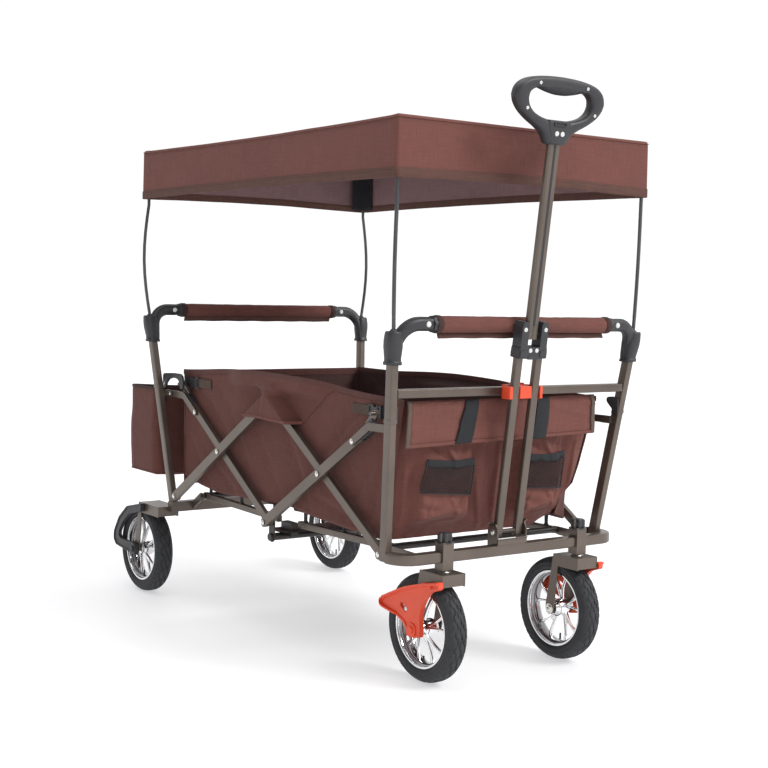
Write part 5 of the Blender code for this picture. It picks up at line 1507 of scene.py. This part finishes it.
# ================================================================ floor: two padded halves on their bars
def floor_half(end, s, owner):
    y0, z0, tip, dip = 0.355, 0.2405, 0.040, 0.006
    def z_at(y, lift):
        return z0 + lift - dip * (y0 - y) / (y0 - tip)
    shapes = []
    for k in (-1, 1):
        bar = []
        for y, zc in ((y0 + 0.004, z0), (tip, z0 - dip)):
            bar.append([(k * 0.2000 + p, y, zc + 0.0003 + q) for p, q in rounded_section(0.0120, 0.0140, 0.0022, 3)])
        shapes.append(loft(bar))
        for y in (y0 - 0.03, tip + 0.02):
            shapes.append(lathe([(0.0, 0.0012), (0.0030, 0.0010), (0.0040, 0.0), (0.0040, -0.001), (0.0, -0.001)], (k * 0.2000 + k * 0.0060, y, z_at(y, 0.0)), (k, 0, 0), 14))
    tube = [sweep([(-0.2070, y0, z0), (0.2070, y0, z0)], circle(0.0066, 18), side_hint=(0, 1, 0)),
            sweep([(-0.2150, y0, z0), (0.2150, y0, z0)], circle(0.0038, 14), side_hint=(0, 1, 0))]
    if s < 0:
        shapes, tube = [turned(q) for q in shapes], [turned(q) for q in tube]
    bars = make(f"{end}_floor_bars", shapes, BRONZE, owner, f"{end}_floor_board", bevel=0.0006)
    make(f"{end}_floor_tube", tube, DARK_STEEL, owner)
    # Stiff board wrapped in cloth, slightly crowned, with welted edges.
    slab = []
    for y in (y0 - 0.004, tip + 0.0015):
        slab.append([(p, s * y, z_at(y, 0.0345) + q) for p, q in rounded_section(0.4440, 0.0100, 0.0042, 4)])
    pad = remeshed(f"{end}_floor_mat", [loft(slab)], 0.0050, LINING_3D)
    cloth_pad(pad, 1.2, 0.0026)
    co = np.array([v.co for v in pad.data.vertices])
    for i, p in enumerate(co):
        if p[2] > z_at(abs(p[1] - DY), 0.0360):
            co[i][2] += 0.0008 * ruffle(p[0] * 14, p[1] * 14, 17.0)
        low = z_at(abs(p[1] - DY), 0.0290)
        co[i][2] = max(co[i][2], low)
    pad.data.vertices.foreach_set("co", co.ravel())
    mod = pad.modifiers.new("round", "SUBSURF")
    mod.levels = mod.render_levels = 1
    finish_piece(pad, owner)
    frame_run = []
    for (xa, ya), (xb, yb) in (((-0.212, y0 - 0.014), (0.212, y0 - 0.014)), ((0.212, y0 - 0.014), (0.212, tip + 0.011)),
                               ((0.212, tip + 0.011), (-0.212, tip + 0.011)), ((-0.212, tip + 0.011), (-0.212, y0 - 0.014))):
        frame_run.append([((xa + (xb - xa) * i / 40, s * (ya + (yb - ya) * i / 40), z_at(ya + (yb - ya) * i / 40, 0.0398)), (0, 0, 1)) for i in range(41)])
    stitches(f"{end}_floor_mat_stitches", frame_run, owner)
    # Short posts that carry the mat above the bars.
    posts = []
    for k in (-1, 1):
        for y in (y0 - 0.020, (y0 + tip) / 2, tip + 0.020):
            posts.append(lathe([(0.0, z_at(y, 0.0300)), (0.0085, z_at(y, 0.0300)), (0.0090, z_at(y, 0.0285)), (0.0040, z_at(y, 0.0270)), (0.0036, z_at(y, 0.0110)),
                                (0.0056, z_at(y, 0.0076)), (0.0056, z_at(y, 0.0064)), (0.0, z_at(y, 0.0064))], (k * 0.2000, s * y, 0), (0, 0, 1), 18))
    make(f"{end}_floor_posts", posts, BLACK, owner)


LINING_3D = cloth("canvas_floor", (0.070, 0.034, 0.031), (0.052, 0.026, 0.024), "Object")
floor_half("rear", 1, "rear_floor")
floor_half("front", -1, "front_floor")


# Webbing under the middle of the floor, above the cross tube.
def sling(u, v):
    x = -0.2300 + 0.4600 * u
    y = -0.034 + 0.068 * v
    return (x, y, 0.2168 + 0.0006 * math.cos(v * PI * 2) + 0.0006 * ruffle(x * 12, y * 12, 30.0))


sling_obj = grid("tub_bottom_band", sling, 90, 12, [STRAP, LINING], 0.0014, "centre", replaces="tub_middle", flip=True)


# ================================================================ rear bag
def bag():
    m = 120
    rows = []
    def ring(z, hx, y_in, y_out, sag=0.0, out=0.0):
        pts = []
        cy, hy = (y_in + y_out) / 2, (y_out - y_in) / 2
        for k in range(m):
            t = 2 * PI * k / m
            c, q = math.cos(t), math.sin(t)
            r = min(0.009, hy * 0.9)
            if abs(q) * hx < abs(c) * hy:
                x, y = math.copysign(hx, c), hx * q / abs(c)
            else:
                x, y = hy * c / abs(q), math.copysign(hy, q)
            over_x, over_y = abs(x) - (hx - r), abs(y) - (hy - r)
            if over_x > 0 and over_y > 0:
                d = math.hypot(over_x, over_y)
                x = math.copysign(hx - r + over_x * r / d, x)
                y = math.copysign(hy - r + over_y * r / d, y)
            far = fade(y, -hy, hy)
            wave = 0.0035 * ruffle(x * 9, z * 10, 40.0) * far + 0.0020 * ruffle(x * 24, z * 18, 44.0) * far - 0.0012 * far
            dz = -sag * (1 - (x / hx) ** 2) * far
            grow = (1 + out * far * (1 - (x / hx) ** 4))
            pts.append((x, cy + y * grow + (wave if q > 0.2 else 0.0), z + dz + 0.002 * ruffle(x * 6, 1.0, 9.0) * far))
        return pts
    rows = [ring(0.2740, 0.060, 0.515, 0.545), ring(0.2735, 0.150, 0.492, 0.575), ring(0.2745, 0.235, 0.474, 0.594), ring(0.2770, 0.265, 0.4685, 0.600)]
    levels = 26
    for i in range(levels + 1):
        q = i / levels
        z = 0.2815 + (0.4760 - 0.2815) * q
        hx = 0.2712 + 0.0034 * math.sin(PI * min(1.0, q * 1.15)) + 0.0012 * q + 0.0012 * ruffle(q * 5, 1.0, 3.0)
        y_out = 0.6030 + 0.0025 * math.sin(PI * q)
        rows.append(ring(z, hx, 0.4660, y_out, sag=0.009 * fade(q, 0.45, 1.0)))
    verts = [V(*p) for row in rows for p in row]
    faces, uvs = [tuple(range(m))[::-1]], [(rows[0][k][0], rows[0][k][1]) for k in reversed(range(m))]
    for j in range(len(rows) - 1):
        for k in range(m):
            l = (k + 1) % m
            faces.append((j * m + k, j * m + l, (j + 1) * m + l, (j + 1) * m + k))
            if j < 4:
                uvs += [(rows[jj][kk][0], rows[jj][kk][1]) for jj, kk in ((j, k), (j, l), (j + 1, l), (j + 1, k))]
            else:
                uvs += [(kk * 0.011, rows[jj][kk % m][2]) for jj, kk in ((j, k), (j, k + 1), (j + 1, k + 1), (j + 1, k))]
    # The bag's shell is in the darker copy of the canvas: painted shade.
    obj = cloth_mesh("rear_bag_shell", verts, faces, uvs, [SHELL_SHADED, LINING], 0.0018, "rear_frame", replaces="rear_bag")
    top = rows[-1]
    pipe = []
    for k in range(m):
        c = Vector(top[k])
        nrm = Vector((top[(k + 1) % m][1] - top[k - 1][1], top[k - 1][0] - top[(k + 1) % m][0], 0)).normalized()
        pipe.append([c - nrm * 0.0009 + nrm * (0.0026 * math.cos(t)) + Vector((0, 0, 0.0040 * math.sin(t) - 0.0015)) for t in (2 * PI * i / 10 for i in range(10))])
    hem = make("rear_bag_hem", [loft(pipe, closed=True)], TOP_HEM_3D, "rear_frame")
    welt_row = rows[4]
    pipe = []
    for k in range(m):
        c = Vector(welt_row[k])
        nrm = Vector((welt_row[(k + 1) % m][1] - welt_row[k - 1][1], welt_row[k - 1][0] - welt_row[(k + 1) % m][0], 0)).normalized()
        pipe.append([c + nrm * (0.0016 * math.cos(t)) + Vector((0, 0, 0.0016 * math.sin(t) - 0.001)) for t in (2 * PI * i / 8 for i in range(8))])
    welt = make("rear_bag_welt", [loft(pipe, closed=True)], SHELL_3D, "rear_frame")
    run = []
    for k in range(m + 1):
        c = Vector(top[k % m]) - Vector((0, 0, 0.0115))
        nrm = Vector((top[(k + 1) % m][1] - top[k % m - 1][1], top[k % m - 1][0] - top[(k + 1) % m][0], 0)).normalized()
        run.append((tuple(c + nrm * 0.0006), tuple(nrm)))
    sewn = stitches("rear_bag_stitches", [run], "rear_frame")


bag()
for side, s in SIDES:
    # Tab of webbing that carries the bag on the inner face of each rear post.
    def hanger(u, v, s=s):
        y = 0.4680 - 0.0215 * u
        z = 0.4560
        return (s * (0.2580 + 0.0006 * math.sin(PI * u)), y + 0.0, z + (v - 0.5) * 0.0200)
    o = grid(f"rear_bag_tab_{side}", hanger, 12, 4, [STRAP], 0.0014, "rear_frame", offset=0.0)


# ================================================================ pull handle
HANDLE_LEAN = math.radians(7.4)
TILT = Matrix.Translation((-0.010, -0.4585, 0.272)) @ Matrix.Rotation(HANDLE_LEAN, 4, "X")


def tilted(shapes):
    return [moved(q, TILT) for q in shapes]


def slab_y(outline, holes, y0, y1):
    """Plate across the handle's depth from an (x, s) outline."""
    v, f = plate_x(outline, holes, y0, y1)
    return [(p[1], p[0], p[2]) for p in v], [tuple(reversed(face)) for face in f]


k_shapes = []
skirt = rounded_outline([(-0.0326, 0.3270), (0.0326, 0.3270), (0.0330, 0.3380), (0.0318, 0.3480), (-0.0318, 0.3480), (-0.0330, 0.3380)], 0.002)
k_shapes.append(slab_y(skirt, [], -0.0130, 0.0118))
for k in (-1, 1):
    cheek = rounded_outline([(k * 0.0150, 0.3460), (k * 0.0312, 0.3460), (k * 0.0312, 0.3840), (k * 0.0282, 0.3940), (k * 0.0180, 0.3940), (k * 0.0150, 0.3880)], 0.003)
    k_shapes.append(slab_y(cheek if k > 0 else cheek[::-1], [], -0.0128, 0.0116))
    k_shapes.append(slab_y(rounded_outline([(k * 0.0160, 0.3300), (k * 0.0315, 0.3300), (k * 0.0315, 0.3420), (k * 0.0160, 0.3420)], 0.002), [], -0.0146, -0.0120))
k_shapes.append(slab_y(rounded_outline([(-0.0120, 0.3255), (0.0120, 0.3255), (0.0100, 0.3330), (-0.0100, 0.3330)], 0.002), [], -0.0140, 0.0120))
make("handle_knuckle_moulding", tilted(k_shapes), BLACK, "handle_lower", "handle_knuckle", bevel=0.0010, segs=3)
heads = []
for x, sz in ((-0.0240, 0.3800), (0.0240, 0.3800), (-0.0075, 0.3420), (0.0075, 0.3420)):
    heads.append(screw((x, -0.0127, sz), (0, -1, 0), 0.0040, 0.0020))
for x in (-0.0235, 0.0235):
    heads.append(screw((x, 0.0117, 0.3420), (0, 1, 0), 0.0040, 0.0016))
make("handle_knuckle_screws", tilted(heads), LACQUER, "handle_lower")


GRIP_S = 0.7870


def loop_points(upper, lower, per=24):
    """Symmetric loop from its right half: upper and lower run from the side to the middle line."""
    quarters = []
    for run in (upper, lower):
        path = smooth_path([(x, z, 0) for x, z in run], 8)
        far = [0.0]
        for p, q in zip(path, path[1:]):
            far.append(far[-1] + (q - p).length)
        out, i = [], 0
        for k in range(per + 1):
            at = far[-1] * k / per
            while i < len(path) - 2 and far[i + 1] < at:
                i += 1
            t = (at - far[i]) / max(far[i + 1] - far[i], 1e-9)
            p = path[i].lerp(path[i + 1], min(1.0, t))
            out.append((p.x, p.y))
        quarters.append(out)
    up, low = quarters
    return up + [(-x, z) for x, z in up[-2::-1]] + [(-x, z) for x, z in low[1:]] + low[-2:0:-1]


outer = loop_points([(0.1052, 0.0020), (0.1030, 0.0130), (0.0960, 0.0230), (0.0820, 0.0315), (0.0600, 0.0372), (0.0300, 0.0405), (0.0, 0.0415)],
                    [(0.1052, 0.0020), (0.1005, -0.0110), (0.0880, -0.0250), (0.0680, -0.0385), (0.0470, -0.0495), (0.0340, -0.0585), (0.0262, -0.0680), (0.0205, -0.0770), (0.0, -0.0770)])
inner = loop_points([(0.0735, -0.0020), (0.0718, 0.0080), (0.0640, 0.0150), (0.0530, 0.0178), (0.0330, 0.0165), (0.0150, 0.0160), (0.0, 0.0160)],
                    [(0.0735, -0.0020), (0.0700, -0.0130), (0.0590, -0.0235), (0.0420, -0.0300), (0.0220, -0.0338), (0.0080, -0.0348), (0.0, -0.0348)])
n = len(outer)
half = 0.0128
verts, faces = [], []
rows = 20
for i in range(rows):
    t = 2 * PI * i / rows
    a_ = math.cos(t)
    b_ = math.sin(t)
    a_ = math.copysign(abs(a_) ** 0.62, a_)
    b_ = math.copysign(abs(b_) ** 0.78, b_)
    for (xo, zo), (xi, zi) in zip(outer, inner):
        mid = Vector(((xo + xi) / 2, (zo + zi) / 2))
        rad = Vector(((xo - xi) / 2, (zo - zi) / 2))
        p = mid + rad * a_
        verts.append((p.x, half * b_ * (1.0), GRIP_S + p.y))
for i in range(rows):
    j = (i + 1) % rows
    for k in range(n):
        m = (k + 1) % n
        faces.append((i * n + k, i * n + m, j * n + m, j * n + k))
neck_path = [(0, 0, z) for z in (0.7118, 0.7135, 0.7200, 0.7280, 0.7380, 0.7480, 0.7530)]
neck_secs = [rounded_section(w, d, 0.0045, 4) for w, d in ((0.0340, 0.0205), (0.0360, 0.0240), (0.0385, 0.0262), (0.0440, 0.0276), (0.0520, 0.0280), (0.0540, 0.0276), (0.0520, 0.0240))]
neck = sweep(neck_path, neck_secs, side_hint=(1, 0, 0))
pad_rows = []
for i in range(49):
    q = i / 48
    x = -0.0590 + 0.118 * q
    w = max(0.05, math.sin(PI * q) ** 0.45)
    rib = 1 + 0.022 * math.sin(x * 1150) * fade(0.050 - abs(x), 0, 0.006)
    zc = GRIP_S + 0.0225 - 0.0010 * (x / 0.059) ** 2
    low = 0.0070 + 0.0062 * (1 - (x / 0.059) ** 2)
    pad_rows.append([(x, 0.0142 * w * rib * math.cos(t), zc + (0.0110 if math.sin(t) > 0 else low) * w * rib * math.sin(t)) for t in (2 * PI * k / 22 for k in range(22))])
make("handle_grip_moulding", tilted([(verts, faces), neck]), BLACK, "handle_upper", "handle_grip", sharp=60)
SOFT_GRIP = moulded("soft_grip", (0.030, 0.030, 0.033), (0.024, 0.024, 0.027), 0.66, 0.5)
make("handle_grip_pad", tilted([loft(pad_rows)]), SOFT_GRIP, "handle_upper", sharp=60)
heads = []
for x, z, r, y in ((-0.0560, 0.0265, 0.0031, -0.0122), (0.0560, 0.0265, 0.0031, -0.0122), (-0.0800, -0.0185, 0.0031, -0.0122), (0.0800, -0.0185, 0.0031, -0.0122),
                   (-0.0066, -0.0570, 0.0045, -0.0138), (0.0066, -0.0570, 0.0045, -0.0138)):
    heads.append(screw((x, y, GRIP_S + z), (0, -1, 0), r, 0.0016))
make("handle_grip_screws", tilted(heads), LACQUER, "handle_upper")
# Dark slide strip in the groove between the upper tube's two ribs.
strips = [slab_y([(-0.0027, 0.3860), (0.0027, 0.3860), (0.0027, 0.7115), (-0.0027, 0.7115)], [], y, y + 0.0014) for y in (-0.0062, 0.0048)]
make("handle_upper_slide_strip", tilted(strips), SOFT_GRIP, "handle_upper")
slot_rim = [slab_y(rounded_outline([(-0.0150, 0.7430), (0.0150, 0.7430), (0.0150, 0.7500), (-0.0150, 0.7500)], 0.002),
                   [rounded_outline([(-0.0120, 0.7445), (0.0120, 0.7445), (0.0120, 0.7485), (-0.0120, 0.7485)], 0.001)[::-1]], -0.0156, -0.0130)]
make("handle_grip_slot", tilted(slot_rim), BLACK, "handle_upper", bevel=0.0003)

# Pivot bolts and flared lips of the base bracket.
bolts = [rivet((-0.010 + k * 0.0358, -0.4585, 0.272), (k, 0, 0), 0.0055, 0.0022) for k in (-1, 1)]
make("handle_base_bolts", bolts, RIVET, "front_frame")
lips = []
for k in (-1, 1):
    x0 = -0.010 + k * 0.0345
    prof = [(x0 - 0.0013, 0.2840), (x0 + 0.0013, 0.2840), (x0 + 0.0013, 0.2862), (x0 + k * 0.0070, 0.2895), (x0 + k * 0.0070, 0.2915), (x0 - 0.0013, 0.2880)]
    ring0 = [(x, -0.4668, z) for x, z in prof]
    ring1 = [(x, -0.4502, z) for x, z in prof]
    lips.append(loft([ring0, ring1]))
apron = [(-0.4724, 0.2495), (-0.4740, 0.2495), (-0.4740, 0.2570), (-0.4752, 0.2592), (-0.4772, 0.2604), (-0.4766, 0.2614), (-0.4740, 0.2602), (-0.4724, 0.2580)]
lips.append(prism_x(apron, -0.010 - 0.0352, -0.010 + 0.0352))
lips.append(box(-0.010 - 0.0352, -0.010 + 0.0352, -0.4740, -0.4440, 0.2488, 0.2502))
make("handle_base_lips", lips, BRONZE, "front_frame", bevel=0.0004)

# Clip on the crossbar: a saddle with a centre block and two springy hooks round the tubes.
cx = -0.010
clip = []
face = -post_y(0.5325) - 0.0093
clip.append(([(x, y, z) for x, y, z in box(cx - 0.0290, cx + 0.0290, -0.4838, face, 0.5195, 0.5455)[0]], box(0, 1, 0, 1, 0, 1)[1]))
clip.append(box(cx - 0.0410, cx + 0.0410, -0.4838, -0.4803, 0.5205, 0.5435))
clip.append(([(x, y, z) for x, y, z in box(cx - 0.0140, cx + 0.0140, -0.4990, -0.4790, 0.5212, 0.5438)[0]], box(0, 1, 0, 1, 0, 1)[1]))
for k in (-1, 1):
    hook = [(cx + k * 0.0322, -0.4800), (cx + k * 0.0410, -0.4800), (cx + k * 0.0412, -0.4950), (cx + k * 0.0395, -0.5000), (cx + k * 0.0330, -0.5008),
            (cx + k * 0.0322, -0.4985), (cx + k * 0.0345, -0.4962), (cx + k * 0.0345, -0.4850), (cx + k * 0.0322, -0.4835)]
    clip.append(loft([[(x, y, z) for x, y in hook] for z in (0.5205, 0.5435)]))
ridge = [box(cx - 0.0150, cx + 0.0150, -0.4760, -0.4650, 0.5440, 0.5485)]
make("handle_clip_moulding", clip + ridge, ORANGE, "front_frame", "handle_clip", bevel=0.0012, segs=3)


# ================================================================ brake levers and guards
FRONT_LEVER = [(-0.499, 0.2010), (-0.499, 0.1860), (-0.474, 0.1790), (-0.459, 0.1640), (-0.448, 0.1460), (-0.4440, 0.1260),
               (-0.4460, 0.1080), (-0.4460, 0.0900), (-0.4240, 0.0855), (-0.4070, 0.0860), (-0.4040, 0.0990), (-0.3960, 0.1090),
               (-0.3700, 0.1190), (-0.3400, 0.1235), (-0.3260, 0.1265), (-0.3210, 0.1330),
               (-0.3240, 0.1400), (-0.3380, 0.1470), (-0.4000, 0.1730), (-0.4450, 0.1890)]
REAR_GUARD = [(0.4870, 0.2110), (0.5610, 0.1950), (0.6030, 0.1640), (0.6290, 0.1270), (0.6300, 0.1080), (0.6180, 0.0960),
              (0.5560, 0.0900), (0.5340, 0.0900), (0.5250, 0.0870), (0.5160, 0.0905), (0.5120, 0.1000), (0.5150, 0.1100), (0.5250, 0.1140),
              (0.5900, 0.1130), (0.6030, 0.1200), (0.6020, 0.1290), (0.5850, 0.1520), (0.5500, 0.1780), (0.4870, 0.1930)]


def offset_outline(points, d):
    """Moves each edge of an anticlockwise or clockwise outline inward by d."""
    n = len(points)
    area = sum(points[i - 1][0] * points[i][1] - points[i][0] * points[i - 1][1] for i in range(n))
    sign = 1 if area > 0 else -1
    out = []
    for i in range(n):
        p0, p1, p2 = Vector(points[i - 1]), Vector(points[i]), Vector(points[(i + 1) % n])
        d0, d1 = (p1 - p0).normalized(), (p2 - p1).normalized()
        n0, n1 = Vector((-d0.y, d0.x)) * sign, Vector((-d1.y, d1.x)) * sign
        b = (n0 + n1)
        b = b / max(0.35, b.length_squared) * 2
        out.append(tuple(p1 + b * d))
    return out


def lever_shapes(outline_points, x0, x1, at, slot, border, depth):
    """Moulded lever: a thinner web inside a raised border, a boss at the axle and an optional slot."""
    outer_loop = rounded_outline(outline_points, 0.006, 3)
    inner_loop = offset_outline(outline_points, border)
    inner_loop = rounded_outline(inner_loop, 0.004, 3)
    holes = []
    if slot:
        holes.append(capsule(slot[0], slot[1], slot[2], 6))
    ring = plate_x(outer_loop, [inner_loop], x0, x1)
    web = plate_x(inner_loop, holes, x0 + (x1 - x0) * 0.12, x1 - (x1 - x0) * depth)
    boss = lathe([(0.0062, 0.0), (0.0125, 0.0), (0.0130, 0.0006), (0.0130, abs(x1 - x0) - 0.0002), (0.0122, abs(x1 - x0) + 0.0006), (0.0062, abs(x1 - x0) + 0.0006)],
                 (x0, at[0], at[1]), (1 if x1 > x0 else -1, 0, 0), 28, closed=True)
    return [ring, web, boss]


for side, s in SIDES:
    x0 = CASTER[0] + 0.0275
    shapes = lever_shapes(FRONT_LEVER, x0, x0 + 0.0100, (-0.420, 0.100), ((-0.4000, 0.1330), (-0.3880, 0.1400), 0.0046), 0.0040, 0.20)
    # Flange along the upper edge, over the tyre's flank, with pockets between its ribs.
    top_edge = smooth_path([(0, -0.4975, 0.1990), (0, -0.4700, 0.1940), (0, -0.4450, 0.1885), (0, -0.4000, 0.1755), (0, -0.3640, 0.1605), (0, -0.3310, 0.1455)], 6)
    flange = []
    for i, p in enumerate(top_edge):
        q = i / (len(top_edge) - 1)
        reach = 0.0010 + 0.0 * q
        flange.append([(x0 - reach, p.y, p.z - 0.0040), (x0 + 0.0100 + 0.0035, p.y, p.z - 0.0040), (x0 + 0.0100 + 0.0035, p.y, p.z + 0.0004), (x0 - reach, p.y, p.z + 0.0004)])
    shapes.append(loft(flange))
    low_edge = smooth_path([(0, -0.3720, 0.1205), (0, -0.3400, 0.1250), (0, -0.3275, 0.1280), (0, -0.3228, 0.1330), (0, -0.3255, 0.1392), (0, -0.3390, 0.1458)], 5)
    shapes.append(loft([[(x0 + 0.0008, p.y, p.z - 0.0014), (x0 + 0.0132, p.y, p.z - 0.0014), (x0 + 0.0132, p.y, p.z + 0.0020), (x0 + 0.0008, p.y, p.z + 0.0020)] for p in low_edge]))
    for yr in (-0.4760, -0.4560):
        shapes.append(box(x0 + 0.0005, x0 + 0.0128, yr - 0.0011, yr + 0.0011, 0.1860, 0.1930))
    bolt = [rivet((x0 + 0.0080, -0.4010, 0.1345), (1, 0, 0), 0.0040, 0.0016)]
    if s < 0:
        shapes, bolt = [mirrored(q) for q in shapes], [mirrored(q) for q in bolt]
    make(f"front_brake_lever_moulding_{side}", shapes, ORANGE, f"front_brake_{side}", f"front_brake_lever_{side}", bevel=0.0008, segs=2, sharp=30)
    make(f"front_brake_lever_rivet_{side}", bolt, LACQUER, f"front_brake_{side}")
    x0 = REAR_WHEEL[0] + 0.0275
    shapes = lever_shapes(REAR_GUARD, x0, x0 + 0.0090, (0.525, 0.100), None, 0.0036, 0.20)
    if s < 0:
        shapes = [mirrored(q) for q in shapes]
    make(f"rear_brake_guard_moulding_{side}", shapes, BLACK, f"rear_brake_{side}", f"rear_brake_guard_{side}", bevel=0.0008, segs=2, sharp=30)

# ================================================================ floor of the studio
bm = bmesh.new()
bmesh.ops.create_grid(bm, x_segments=24, y_segments=24, size=30.0)
mesh = bpy.data.meshes.new("studio_floor")
bm.to_mesh(mesh)
bm.free()
mesh.materials.append(floor_material())
ground = bpy.data.objects.new("studio_floor", mesh)
ground.location.z = -0.0003
scene.collection.objects.link(ground)
ground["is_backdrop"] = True

low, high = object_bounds()
